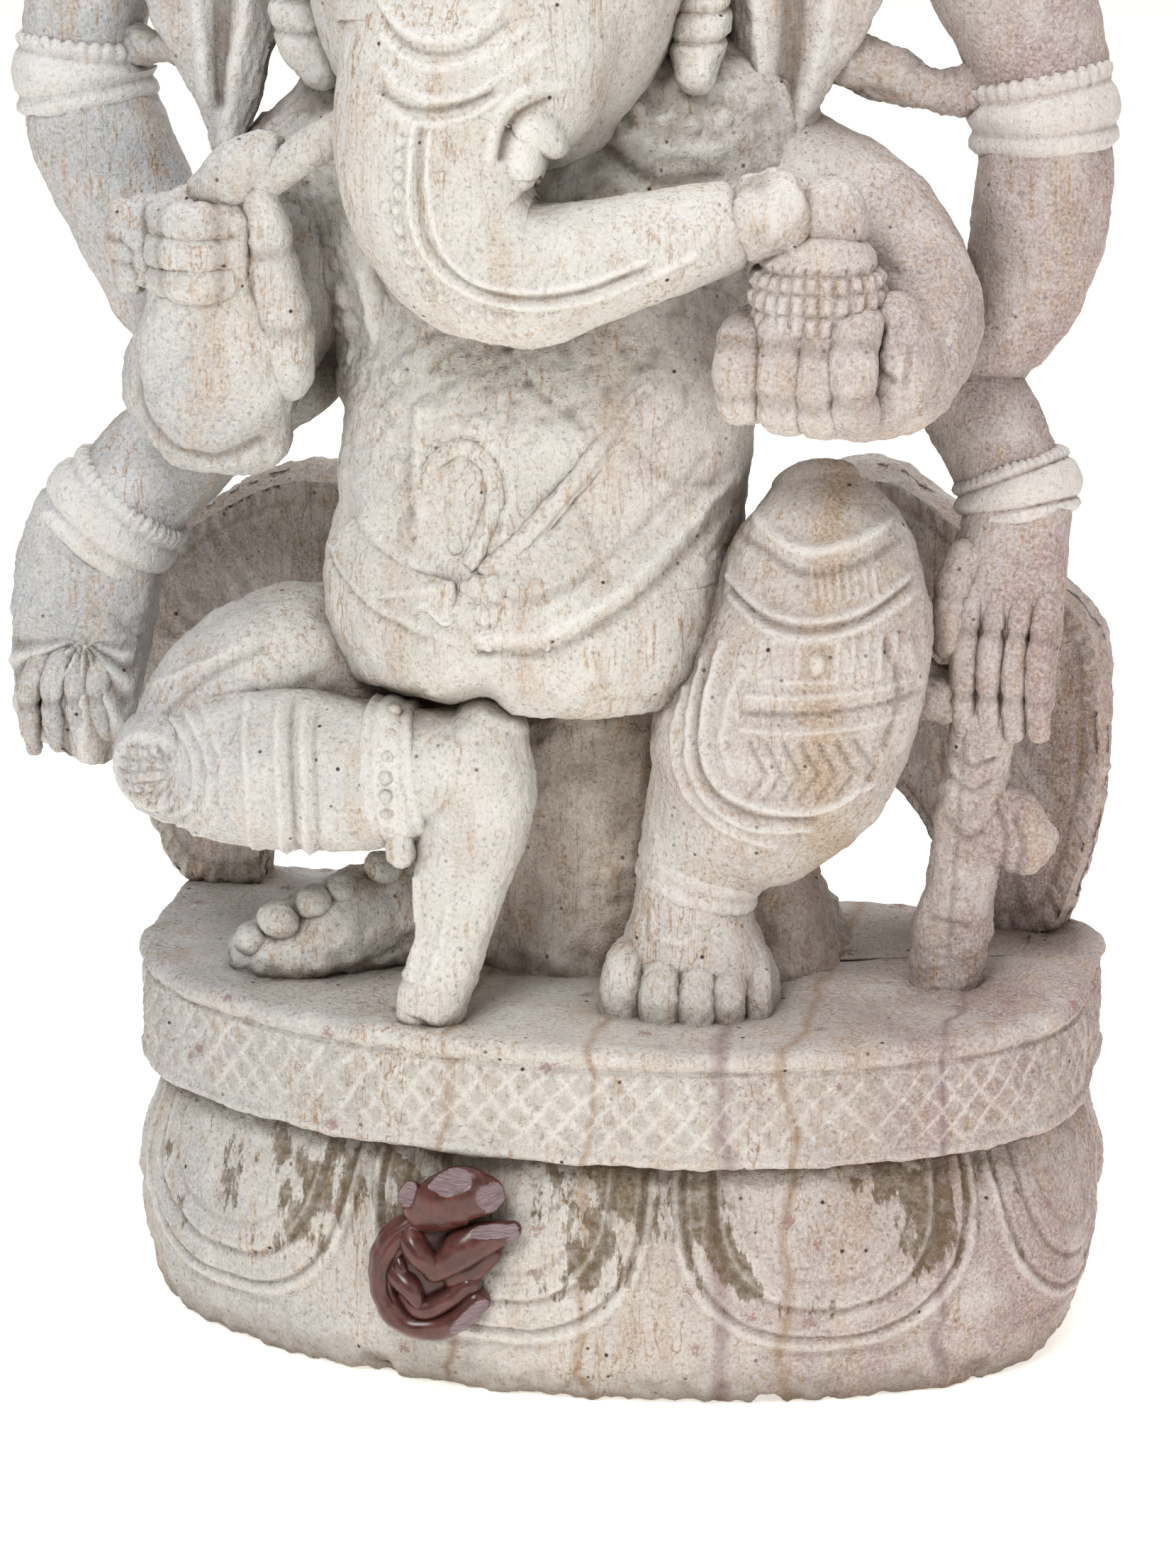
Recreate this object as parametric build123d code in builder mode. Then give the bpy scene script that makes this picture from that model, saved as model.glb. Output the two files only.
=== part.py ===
# Seated elephant-headed deity carved from one block of soft stone, on a lotus plinth.
# Millimetres, +Z up. The origin is the middle of the plinth's underside, the figure faces -Y,
# and left and right are those of someone who looks at its face.
# The carved members are separate solids that meet face to face, and the mouse is glued on.
import os
from math import cos, radians, sin

from build123d import *

os.makedirs("parts", exist_ok=True)

# ---- driving dimensions ----
base_width = 102.0  # across the lotus plinth, at its widest
base_front = 28.5  # from the middle to the front of the plinth
base_back = 24.0  # from the middle to the flat back of the plinth
back_corner_radius = 8.0
foot_rim_height = 5.5  # plain rim under the lotus petals
lotus_height = 26.5  # plinth up to the underside of the slab
slab_height = 13.0  # slab with the cross-hatched band
neck_inset = 2.5  # how far the waist under the slab stands back
figure_height = 163.5  # from the slab's top to the tip of the crown
figure_width = 116.0  # across the rear elbows and hands
plate_thickness = 6.0  # upright leaf plates behind the hands
ear_thickness = 4.0
armlet_rise = 0.9  # how far the arm rings stand proud of the arm
bracelet_rise = 1.0
belt_rise = 0.9  # how far the belly belt stands proud
belt_height = 7.0
thread_width = 3.2  # the cord that crosses the belly
ornament_rise = 0.8
stylus_radius = 1.9  # the broken tusk held as a pen
axe_handle_radius = 3.2
mouse_length = 16.0  # glued mouse, from haunch to head
glue_thickness = 0.5

# ---- places that follow from them ----
slab_top = lotus_height + slab_height
drawn_width = 116.0  # the size at which the figure's places below were set out
drawn_height = 163.5
across = figure_width / drawn_width
upward = figure_height / drawn_height
girth = (across * upward) ** 0.5  # limbs thicken with the figure
base_radius = base_width / 2
finished = []  # pieces that are already carved, in the order of carving


def place(x, y, z):
    """A point of the figure, with z measured up from the slab's top."""
    return Vector(x * across, y * girth, slab_top + z * upward)


def loft_sections(centres, widths, depths, directions):
    """Loft ellipses square to the given directions, carried along without a twist."""
    sections = []
    sideways = Vector(0, 1, 0).cross(directions[0])
    for centre, wide, deep, along in zip(centres, widths, depths, directions):
        sideways = (sideways - along * sideways.dot(along)).normalized()
        with BuildSketch(Plane(origin=centre, x_dir=sideways, z_dir=along)) as section:
            Ellipse(wide, deep)
        sections.append(section.sketch.face())
    loft(sections)


def limb(stations, round_start=True, round_end=True):
    """A bent limb through stations (x, y, z, wide, deep), with rounded ends."""
    centres = [place(x, y, z) for x, y, z, wide, deep in stations]
    widths = [wide * girth for x, y, z, wide, deep in stations]
    depths = [deep * girth for x, y, z, wide, deep in stations]
    last = len(centres) - 1
    directions = [
        (centres[min(i + 1, last)] - centres[max(i - 1, 0)]).normalized() for i in range(last + 1)
    ]
    cap = ((0.4, 0.88), (0.68, 0.6))  # how far each closing section stands out, and its size
    if round_start:
        first, wide, deep, ahead = centres[0], widths[0], depths[0], directions[0]
        for reach, shrink in cap:
            centres.insert(0, first - ahead * reach * min(wide, deep))
            widths.insert(0, wide * shrink)
            depths.insert(0, deep * shrink)
            directions.insert(0, ahead)
    if round_end:
        end, wide, deep, ahead = centres[-1], widths[-1], depths[-1], directions[-1]
        for reach, shrink in cap:
            centres.append(end + ahead * reach * min(wide, deep))
            widths.append(wide * shrink)
            depths.append(deep * shrink)
            directions.append(ahead)
    loft_sections(centres, widths, depths, directions)


def egg(centre, wide, deep, high):
    """An upright egg: ellipses stacked along Z, at these degrees above its middle."""
    turns = (-78, -58, -35, -12, 12, 35, 58, 78)
    centres = [centre + Vector(0, 0, high * sin(radians(a))) for a in turns]
    widths = [wide * cos(radians(a)) for a in turns]
    depths = [deep * cos(radians(a)) for a in turns]
    loft_sections(centres, widths, depths, [Vector(0, 0, 1)] * len(turns))


def ball(x, y, z, wide, deep, high):
    """An egg of the figure."""
    egg(place(x, y, z), wide * girth, deep * girth, high * girth)


def leaf(outline, y_front, thickness):
    """A flat carved leaf: a smooth closed outline in the XZ plane, given a thickness."""
    points = [place(x, y_front, z) for x, z in outline]
    with BuildSketch(Plane.XZ.offset(-points[0].Y)) as shape:
        with BuildLine():
            Spline([(p.X, p.Z) for p in points], periodic=True)
        make_face()
    extrude(shape.sketch, amount=-thickness)


def clear_neighbours():
    """Take the finished pieces away from the one being carved, so that they meet face to face."""
    box = BuildPart._get_context().part.bounding_box()
    for piece in finished:
        other = piece.part.bounding_box()
        apart = (
            other.min.X > box.max.X or box.min.X > other.max.X
            or other.min.Y > box.max.Y or box.min.Y > other.max.Y
            or other.min.Z > box.max.Z or box.min.Z > other.max.Z
        )
        if not apart:
            add(piece.part, mode=Mode.SUBTRACT)


def keep(piece, name, solids=1):
    """Label a finished piece, drop any loose crumbs of stone and write it."""
    whole = piece.part.solids().sort_by(SortBy.VOLUME, reverse=True)
    if len(whole) > solids:
        print(name, "crumbs dropped:", [round(s.volume, 2) for s in whole[solids:]])
        piece.part = Part(whole[:solids])
    piece.part.label = name
    export_step(piece.part, f"parts/{name}.step")
    finished.append(piece)


# ---- plinth ----
def plinth_outline(inset=0.0):
    """Half-oval front, straight ends and a flat back with rounded corners."""
    half = base_radius - inset
    Ellipse(half, base_front - inset)
    with Locations((0, (base_back - inset) / 2)):
        RectangleRounded(2 * half, base_back - inset, back_corner_radius)
    with Locations((0, (base_back - inset) / 4)):
        Rectangle(2 * half, (base_back - inset) / 2)
    with Locations((0, base_back - inset + base_front)):
        Rectangle(4 * half, 2 * base_front, mode=Mode.SUBTRACT)


petal_height = lotus_height - foot_rim_height
with BuildPart() as lotus_base:
    with BuildSketch():
        plinth_outline(neck_inset)
    extrude(amount=foot_rim_height)
    for share, inset in ((0.0, 1.8), (0.25, 0.3), (0.5, 0.2), (0.8, 1.4), (1.0, neck_inset)):
        with BuildSketch(Plane.XY.offset(foot_rim_height + share * petal_height)):
            plinth_outline(inset)
    loft()
keep(lotus_base, "lotus_base")

with BuildPart() as plinth_slab:
    with BuildSketch(Plane.XY.offset(lotus_height)):
        plinth_outline()
    extrude(amount=slab_height)
    fillet(plinth_slab.edges().group_by(Axis.Z)[-1], radius=min(1.6, slab_height / 4))
keep(plinth_slab, "plinth_slab")

# ---- trunk of the body ----
belly_x, belly_y, belly_z = -7.0, -3.0, 46.0
belly_wide, belly_deep, belly_high = 20.0, 16.5, 17.5  # half sizes


def belly_shell(rise):
    """The belly's own shape, grown by how far the work on it stands proud."""
    ball(belly_x, belly_y, belly_z, belly_wide + rise, belly_deep + rise, belly_high + rise)


with BuildPart() as belly:
    belly_shell(0)
    clear_neighbours()
keep(belly, "belly")

with BuildPart() as torso:
    limb(
        [
            (-6, 6, 30, 15, 11),
            (-7, 5, 44, 18, 12),
            (-8, 4, 60, 20, 12.5),
            (-8, 3, 72, 23, 12.5),
            (-8.5, 4, 82, 29, 11.5),
            (-9, 5, 90, 30, 11),
            (-10, 5, 98, 20, 10),
            (-10.5, 4, 106, 13, 9),
        ]
    )
    clear_neighbours()
keep(torso, "torso")

with BuildPart() as seat_block:
    limb(
        [(2, 10, -6, 19, 11), (3, 10, 6, 18, 11), (3, 9, 18, 18, 11), (1, 8, 30, 15, 11)],
        round_start=False,
        round_end=False,
    )
    clear_neighbours()
keep(seat_block, "seat_block")

# ---- head, trunk, ears and crown ----
with BuildPart() as head:
    limb(
        [
            (-10.5, -5, 92, 15, 12),
            (-10.5, -5, 100, 18, 15),
            (-10.5, -4, 110, 20, 17),
            (-10.5, -2, 119, 20, 17),
            (-10.5, 0, 126, 17, 15),
        ]
    )
    clear_neighbours()
keep(head, "head")

with BuildPart() as trunk:  # it hangs down, then turns across to the sweets
    limb(
        [
            (-10.5, -13, 105, 12.5, 10),
            (-10.5, -15, 97, 12, 9),
            (-12.2, -17, 91.5, 11, 8.6),
            (-12.6, -19, 86, 9.8, 7.8),
        ]
    )
    limb(
        [
            (-12, -20, 82.4, 6.8, 6.8),
            (-5, -20.5, 79, 6.8, 6.6),
            (2, -20, 79.4, 6, 5.6),
            (8, -18.5, 81, 5.3, 5),
            (14.5, -16.5, 82.6, 4.4, 4.2),
        ]
    )
    clear_neighbours()
keep(trunk, "trunk")

ear_left_outline = [
    (-24, 118), (-34, 125), (-44, 123), (-49, 113), (-47.5, 99.5), (-43.6, 92),
    (-42.3, 85.5), (-40, 83.8), (-38, 87), (-36, 94), (-32, 100), (-24, 104),
]
ear_right_outline = [
    (3, 104), (10, 99), (12, 94), (13, 88), (15.6, 83.6), (17.5, 84.5),
    (19.2, 88.4), (22.4, 94), (25.5, 102), (27.5, 113), (23, 123), (13, 125), (3, 118),
]
for side, outline in (("left", ear_left_outline), ("right", ear_right_outline)):
    with BuildPart() as ear:
        leaf(outline, 0.5, ear_thickness)
        clear_neighbours()
    keep(ear, f"ear_{side}")

ear_drops = {
    "left": [
        (-31, -1, 103, 2.6, 2.6), (-31, -4, 99, 3, 2.6), (-29.5, -5, 96, 2.6, 2.4),
        (-28, -6, 94.5, 2, 2),
    ],
    "right": [
        (9.8, -1, 103, 2.6, 2.6), (9.8, -4, 99.5, 3, 2.6), (9.6, -5, 97, 2.6, 2.4),
        (9.6, -6, 95.3, 2, 2),
    ],
}
for side, stations in ear_drops.items():
    with BuildPart() as ear_drop:
        limb(stations)
        clear_neighbours()
    keep(ear_drop, f"ear_drop_{side}")

crown_foot = place(-10.5, 0.5, 126)
crown_rise = slab_top + figure_height - crown_foot.Z
crown_band_height = 6.0 * girth
crown_radius = 18.5 * girth
with BuildPart() as crown_band:
    with BuildSketch(Plane(origin=crown_foot)):
        Ellipse(crown_radius + ornament_rise, crown_radius - 1 + ornament_rise)
    extrude(amount=crown_band_height)
    levels = crown_band.edges().group_by(Axis.Z)
    fillet(levels[0] + levels[-1], radius=ornament_rise)
    clear_neighbours()
keep(crown_band, "crown_band")

# each step of the tiers: its share of the crown's height and of its radius
tiers = (
    (0.10, 0.90), (0.34, 0.80), (0.36, 0.70), (0.58, 0.58), (0.60, 0.48), (0.80, 0.34),
    (0.82, 0.24),
)
with BuildPart() as crown:
    with BuildSketch(Plane(origin=crown_foot, x_dir=(1, 0, 0), z_dir=(0, -1, 0))):
        with BuildLine():
            Polyline(
                (0, 0.02 * crown_rise),
                (0.9 * crown_radius, 0.02 * crown_rise),
                *[(share * crown_radius, rise * crown_rise) for rise, share in tiers],
            )
            Spline(
                (tiers[-1][1] * crown_radius, tiers[-1][0] * crown_rise),
                (0.2 * crown_radius, 0.9 * crown_rise),
                (0, crown_rise),
            )
            Line((0, crown_rise), (0, 0.02 * crown_rise))
        make_face()
    revolve(axis=Axis(crown_foot, (0, 0, 1)))
    clear_neighbours()
keep(crown, "crown")

# ---- arms: each is carved from shoulder to hand, rings first ----
rear_arms = {
    "left": [
        (-30, 9, 101, 7, 6.5), (-40, 10, 108, 7.2, 6.5), (-50, 10, 107.5, 7, 6.5),
        (-55.6, 9.5, 101, 6.6, 6.3), (-57.2, 8.5, 92, 6.6, 6.3), (-55.2, 8, 84, 7.2, 6.6),
        (-52.2, 8, 76.5, 7, 6.6), (-48.5, 8, 69.5, 6.4, 6.2), (-43.5, 8, 62, 5.8, 6),
    ],
    "right": [
        (10, 9, 101, 7, 6.5), (20, 10, 109, 7.4, 6.5), (31, 10, 110.5, 7.4, 6.5),
        (37.8, 10, 105, 7.6, 6.5), (41, 9, 97, 7.4, 6.3), (42.8, 8.5, 90, 6.8, 6.3),
        (43, 8, 84, 6.9, 6.6), (42.8, 8, 78.5, 6.7, 6.6), (41.3, 8, 72.5, 6.1, 6.2),
        (38.2, 8, 66.5, 5.6, 6),
    ],
}
armlets = {
    "left": [(-57, 8.9, 94.3, 6.9, 6.6), (-57.2, 8.5, 90.5, 6.9, 6.6), (-56.6, 8.3, 87, 7.1, 6.7)],
    "right": [(42, 8.8, 94, 7.1, 6.6), (42.8, 8.5, 90.5, 7, 6.6), (43, 8.2, 87, 6.9, 6.7)],
}
forearms = {
    "left": [
        (-37, 8, 59.5, 5.6, 5.8), (-42, 7, 56, 6.2, 6), (-48.7, 5, 50.2, 6.4, 6), (-55, 4, 43, 6.5, 6),
    ],
    "right": [
        (32.5, 8, 64.5, 5.2, 5.6), (35.5, 7, 60.6, 5.4, 5.6), (39.2, 5, 56.4, 5.4, 5.5),
        (42, 3.6, 50.5, 5.2, 5.3),
    ],
}
bracelets = {
    "left": [(-51.6, 4.6, 47.2, 6.8, 6.4), (-54.4, 4.1, 43.8, 7, 6.5), (-56.4, 3.7, 41, 6.8, 6.4)],
    "right": [(40.5, 4.4, 54.6, 5.6, 5.8), (41.6, 3.9, 52, 5.8, 5.8), (42.2, 3.3, 49.2, 5.6, 5.6)],
}
lower_hands = {
    "left": [
        (-56.6, 3.6, 42, 6, 5.4), (-57.6, 2.6, 36, 7.4, 5.2), (-58.4, 1.5, 29, 7, 5),
        (-58.8, 0.5, 22.5, 5.8, 4.2),
    ],
    "right": [
        (41.8, 2.8, 50, 5, 4.8), (41.2, 1, 42, 5.8, 4.8), (41, 0, 36, 5, 4.6),
        (41.2, -0.6, 31, 4.6, 4.4),
    ],
}
front_arms = {
    "left": [
        (-26, 3, 80, 7, 6.5), (-31.5, 1.5, 75, 7.6, 7), (-36.5, -2, 69, 8.2, 7.4),
        (-40, -5, 62.6, 8.6, 7.6),
    ],
    "right": [
        (14, 4, 82, 6.8, 6.4), (23, 2, 80, 6.6, 6.4), (30, -2, 75, 6.3, 6.2), (32, -7, 69.5, 6, 6),
        (30.4, -11, 66.6, 5.5, 5.5),
    ],
}
front_wrists = {
    "left": [(-40, -7, 63, 7.6, 6.6), (-38.6, -10, 69, 7.6, 6.2), (-38, -12, 74, 6.4, 5.6)],
    "right": [(28, -12.6, 65.8, 5.3, 5.2), (24, -14.4, 66.4, 5, 5)],
}
front_hands = {
    "left": [
        (-38.6, -12.4, 74.6, 6.4, 5.2), (-39.6, -13, 78.5, 6.6, 5), (-37.4, -13.6, 83, 4.4, 4.2),
        (-34.8, -14, 86.6, 2.9, 3),
    ],
    "right": [(23.6, -15, 66.4, 5.2, 5.2), (18.6, -16.4, 67.4, 5, 4.8), (15, -16.6, 68.4, 4, 4)],
}


def ring(stations, rise):
    """A band round a limb: a slightly fatter length of it, hollowed by the limb itself."""
    fatter = [(x, y, z, wide + rise, deep + rise) for x, y, z, wide, deep in stations]
    limb(fatter, round_start=False, round_end=False)


with BuildPart() as hand_sweets:
    ball(18.8, -16, 84.4, 4.2, 4, 3.9)
    ball(26, -14.4, 83.4, 3.2, 3.4, 3.2)
    clear_neighbours()
keep(hand_sweets, "hand_sweets", solids=2)

with BuildPart() as sweet_bowl:
    limb([(22.6, -15.4, 71.6, 5.6, 5.4), (22.9, -15.2, 75.4, 6.6, 6.2), (23, -15, 79.2, 5.8, 5.6)])
    clear_neighbours()
keep(sweet_bowl, "sweet_bowl")

for side in ("left", "right"):
    with BuildPart() as front_hand:
        limb(front_hands[side])
        clear_neighbours()
    keep(front_hand, f"front_hand_{side}")
    with BuildPart() as front_wrist:
        limb(front_wrists[side])
        clear_neighbours()
    keep(front_wrist, f"front_forearm_{side}")
    with BuildPart() as front_arm:
        limb(front_arms[side])
        clear_neighbours()
    keep(front_arm, f"front_arm_{side}")
    with BuildPart() as lower_hand:
        limb(lower_hands[side])
        clear_neighbours()
    keep(lower_hand, f"lower_hand_{side}")
    with BuildPart() as forearm:
        limb(forearms[side])
        clear_neighbours()
    keep(forearm, f"rear_forearm_{side}")
    with BuildPart() as bracelet:
        ring(bracelets[side], bracelet_rise)
        clear_neighbours()
    keep(bracelet, f"bracelet_{side}")
    with BuildPart() as rear_arm:
        limb(rear_arms[side])
        clear_neighbours()
    keep(rear_arm, f"rear_upper_arm_{side}")
    with BuildPart() as armlet:
        ring(armlets[side], armlet_rise)
        clear_neighbours()
    keep(armlet, f"armlet_{side}")

# ---- legs ----
with BuildPart() as standing_leg:
    limb(
        [
            (22, -5, 53, 5.5, 5.5), (22.8, -7, 47.5, 9, 8), (23.2, -8, 41, 11, 9.5),
            (21.2, -9, 34, 12.2, 10.5), (18, -9, 26, 12.8, 10.5), (15, -9.5, 20, 10.2, 9),
            (11.8, -10, 15.8, 7.2, 7), (10.6, -10.5, 11, 5.9, 6),
        ],
        round_end=False,
    )
    clear_neighbours()
keep(standing_leg, "standing_leg")

with BuildPart() as standing_anklet:
    ring([(11.2, -10.2, 13.6, 6.1, 6.2), (10.7, -10.4, 11.4, 5.9, 6)], bracelet_rise)
    clear_neighbours()
keep(standing_anklet, "standing_anklet")

with BuildPart() as standing_foot:
    limb(
        [
            (10.6, -10.5, 13.4, 4.2, 4.2), (10.5, -11, 8.6, 6.6, 6.6), (10.4, -12.5, 4, 8, 8),
            (10.4, -13, -3, 8.6, 9),
        ],
        round_start=False,
        round_end=False,
    )
    clear_neighbours()
keep(standing_foot, "standing_foot")

toe_step = 3.3
toe_reach = (-20.6, -21.6, -21.8, -21.2, -20.2)  # how far forward each toe lies
with BuildPart() as standing_toes:
    for number, y in enumerate(toe_reach):
        ball(3.9 + number * toe_step, y, 1.4, 1.5, 2.8, 2.4)
    clear_neighbours()
keep(standing_toes, "standing_toes", solids=len(toe_reach))

with BuildPart() as crossed_thigh:
    limb(
        [
            (-15, 0, 28, 9, 9), (-24, -4, 31, 8.6, 8.6), (-31.5, -8, 33.6, 7.6, 7.6),
            (-38.5, -11.5, 31.5, 6.4, 6.6),
        ]
    )
    clear_neighbours()
keep(crossed_thigh, "crossed_thigh")

with BuildPart() as crossed_shin:
    limb(
        [
            (-41.8, -15, 23.6, 6.2, 6.2), (-36.5, -16, 24, 7.6, 7), (-30, -16.6, 24.2, 8, 7.2),
            (-23, -17, 24.2, 7.6, 7), (-17.6, -17, 24.8, 6.4, 6.4),
        ]
    )
    clear_neighbours()
keep(crossed_shin, "crossed_shin")

with BuildPart() as crossed_anklet:
    ring(
        [(-20.2, -17, 24.6, 7.1, 6.9), (-17.6, -17, 24.9, 6.7, 6.6), (-15.4, -17, 25.2, 6.2, 6.2)],
        bracelet_rise,
    )
    clear_neighbours()
keep(crossed_anklet, "crossed_anklet")

with BuildPart() as crossed_foot:
    limb(
        [
            (-9.8, -16.5, 28, 4, 4.6), (-10.6, -17, 24, 5.6, 5.6), (-11.2, -18, 19, 5.6, 5.2),
            (-11.6, -19.6, 13.6, 4.6, 4.4), (-12, -20.8, 8.6, 3.6, 3.6), (-13, -21.6, 4.6, 3.4, 3.2),
            (-14.2, -21.8, -0.6, 3.2, 3),
        ],
        round_end=False,
    )
    clear_neighbours()
keep(crossed_foot, "crossed_foot")

# ---- upright leaf plates at the two ends of the slab ----
plate_right_outline = [
    (36, -1), (33, 7), (27, 16), (17, 23), (10, 32), (14, 46), (27, 50), (34, 45), (43, 40),
    (49, 34), (50.2, 25), (49.8, 13), (48, 5.5), (45, -1), (40.5, -2),
]
plate_left_outline = [
    (-42, -1), (-41, 5), (-36, 13), (-27, 21), (-20, 32), (-24, 43), (-36, 47), (-46, 43),
    (-54, 36), (-58, 26), (-57.4, 15), (-54.6, 6.5), (-50.6, -1), (-46, -2),
]
for side, outline in (("left", plate_left_outline), ("right", plate_right_outline)):
    with BuildPart() as back_plate:
        leaf(outline, 15.5, plate_thickness)
        clear_neighbours()
    keep(back_plate, f"back_plate_{side}")

# ---- things held in the hands ----
with BuildPart() as stylus_tusk:
    limb(
        [
            (-34, -13.6, 83.6, stylus_radius, stylus_radius),
            (-28, -15, 88, stylus_radius, stylus_radius),
            (-21, -16.4, 92.4, stylus_radius, stylus_radius),
        ]
    )
    clear_neighbours()
keep(stylus_tusk, "stylus_tusk")

with BuildPart() as fan_leaf:
    limb([(-52.6, -1.6, 36, 4.6, 3.6), (-53.6, -2.6, 28, 5.4, 3.4), (-56, -2.6, 22, 4.6, 3)])
    clear_neighbours()
keep(fan_leaf, "fan_leaf")

with BuildPart() as axe_handle:
    thin = axe_handle_radius / girth
    limb(
        [(39.4, -1.4, 32, thin, thin), (35.8, -0.4, -2, thin, thin)],
        round_start=False,
        round_end=False,
    )
    clear_neighbours()
keep(axe_handle, "axe_handle")

with BuildPart() as axe_blade:
    limb([(39, -1, 17.6, 3.4, 2.6), (42.6, -1, 16, 3.6, 2.8), (45, -1, 15, 2.4, 2)])
    clear_neighbours()
keep(axe_blade, "axe_blade")

# ---- stone left standing between the free members, as struts ----
struts = {
    "knee_strut": [(31, -3, 33.5, 2.6, 2.6), (36, -2, 32, 2.6, 2.6), (40, -1, 31.4, 2.6, 2.6)],
    "arm_strut_left": [(-44.6, 3, 94.6, 1.8, 1.8), (-48, 5, 94, 1.6, 1.6), (-52, 7, 93.6, 1.8, 1.8)],
    "arm_strut_right": [(22, 4, 95.4, 2.4, 2.4), (29, 6, 92.6, 2.2, 2.2), (38, 8, 92.6, 2.4, 2.4)],
}
for name, stations in struts.items():
    with BuildPart() as strut:
        limb(stations)
        clear_neighbours()
    keep(strut, name)

# ---- belt, buckle, thread and knee ornament, thin raised work on the stone ----
window = 3 * belly_deep * girth  # side of the boxes that keep only the front of a raised shell
with BuildPart() as belly_belt:
    belly_shell(belt_rise)
    with Locations(place(belly_x, belly_y, 39.5) - Vector(0, window / 2, 0)):
        Box(2 * window, window, belt_height, mode=Mode.INTERSECT)
    clear_neighbours()
keep(belly_belt, "belly_belt")

with BuildPart() as belt_buckle:
    limb([(-9.6, -18.4, 44, 2.6, 1.8), (-9.6, -19.6, 38, 2.8, 1.8), (-9.6, -18, 33, 2, 1.6)])
    clear_neighbours()
keep(belt_buckle, "belt_buckle")

with BuildPart() as sacred_thread:
    belly_shell(ornament_rise)
    with Locations(Location(place(-2, -16, 52), (0, -52, 0))):  # a slice that slants up to the right
        Box(window, window / 2, thread_width, mode=Mode.INTERSECT)
    with Locations(place(-2, -16, 43.2) + Vector(0, 0, window / 2)):  # only above the belt
        Box(2 * window, window, window, mode=Mode.INTERSECT)
    clear_neighbours()
keep(sacred_thread, "sacred_thread")

with BuildPart() as knee_cap:
    limb([(-44.2, -17.6, 24, 3.6, 3.6), (-41, -18.6, 24, 5.2, 4.8), (-38.6, -18.4, 24, 4.6, 4.6)])
    clear_neighbours()
keep(knee_cap, "knee_cap")

# ---- offering on the slab ----
offered = ((-35.4, -11.6, 5, 1.8), (-32, -12, 7.6, 2.1), (-28.2, -11.4, 9.6, 1.7), (-25, -8.4, 12, 2))
with BuildPart() as offering_sweets:
    for x, y, z, radius in offered:
        ball(x, y, z, radius, radius, radius)
    clear_neighbours()
keep(offering_sweets, "offering_sweets", solids=len(offered))

with BuildPart() as offering_tray:
    limb([(-36, -9, 1, 3.6, 3.8), (-30.5, -8, 3, 5, 5.2), (-24.5, -5, 5, 6, 6.2), (-19.5, -3, 6, 6, 6.2)])
    clear_neighbours()
keep(offering_tray, "offering_tray")

# ---- mouse, carved on its own and glued to the front of the lotus ----
mouse_x = -13.5  # from the middle of the plinth to the middle of the mouse
mouse_z = 15.5
mouse_front = -base_front * (1 - (mouse_x / base_radius) ** 2) ** 0.5  # the lotus's face behind it
mouse_grow = mouse_length / 16.0


def mouse_ball(x, out, z, wide, deep, high):
    """An egg of the mouse, placed from the lotus's front face and the mouse's middle."""
    centre = Vector(mouse_x, mouse_front, mouse_z) + Vector(x, -out, z) * mouse_grow
    egg(centre, wide * mouse_grow, deep * mouse_grow, high * mouse_grow)


with BuildPart() as mouse_body:
    mouse_ball(0, 2.2, -1, 6.6, 4, 6.8)
    clear_neighbours()
keep(mouse_body, "mouse_body")

with BuildPart() as mouse_head:
    mouse_ball(2.6, 2.4, 7.2, 4.2, 3.4, 3.6)
    clear_neighbours()
keep(mouse_head, "mouse_head")

with BuildPart() as mouse_paw:
    mouse_ball(6.6, 2, 2.6, 3.6, 2.4, 2.8)
    clear_neighbours()
keep(mouse_paw, "mouse_paw")

with BuildPart() as glue_bed:
    mouse_ball(0.6, 0, 0, 8, glue_thickness + 1.2, 8.4)
    clear_neighbours()
keep(glue_bed, "glue_bed")

print("pieces:", len(finished))
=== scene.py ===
import math

import bpy
import numpy as np
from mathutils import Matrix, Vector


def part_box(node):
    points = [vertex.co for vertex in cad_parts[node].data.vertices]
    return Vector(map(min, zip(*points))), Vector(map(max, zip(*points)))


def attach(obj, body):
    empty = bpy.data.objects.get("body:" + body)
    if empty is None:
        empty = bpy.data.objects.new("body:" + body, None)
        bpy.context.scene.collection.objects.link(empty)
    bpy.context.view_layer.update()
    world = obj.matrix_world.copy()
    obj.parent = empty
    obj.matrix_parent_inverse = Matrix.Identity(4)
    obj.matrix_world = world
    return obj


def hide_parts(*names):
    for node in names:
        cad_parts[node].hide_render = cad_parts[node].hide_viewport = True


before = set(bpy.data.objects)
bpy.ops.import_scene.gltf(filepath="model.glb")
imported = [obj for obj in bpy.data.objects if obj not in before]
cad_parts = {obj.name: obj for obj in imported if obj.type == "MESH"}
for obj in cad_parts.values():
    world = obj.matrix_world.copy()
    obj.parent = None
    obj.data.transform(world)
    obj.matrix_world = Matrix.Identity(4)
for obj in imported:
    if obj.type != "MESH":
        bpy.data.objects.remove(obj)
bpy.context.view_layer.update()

print("frame loaded:", len(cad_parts), "carved members")

mm = 0.001  # the scene is in metres, the carving below is written in millimetres
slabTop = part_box("plinth_slab")[1].z / mm  # the figure's heights h are measured up from here
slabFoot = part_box("plinth_slab")[0].z / mm
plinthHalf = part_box("plinth_slab")[1].x / mm
plinthFront = -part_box("plinth_slab")[0].y / mm
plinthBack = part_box("plinth_slab")[1].y / mm
cornerRadius = 8.0  # the two back corners of the plinth


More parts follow.
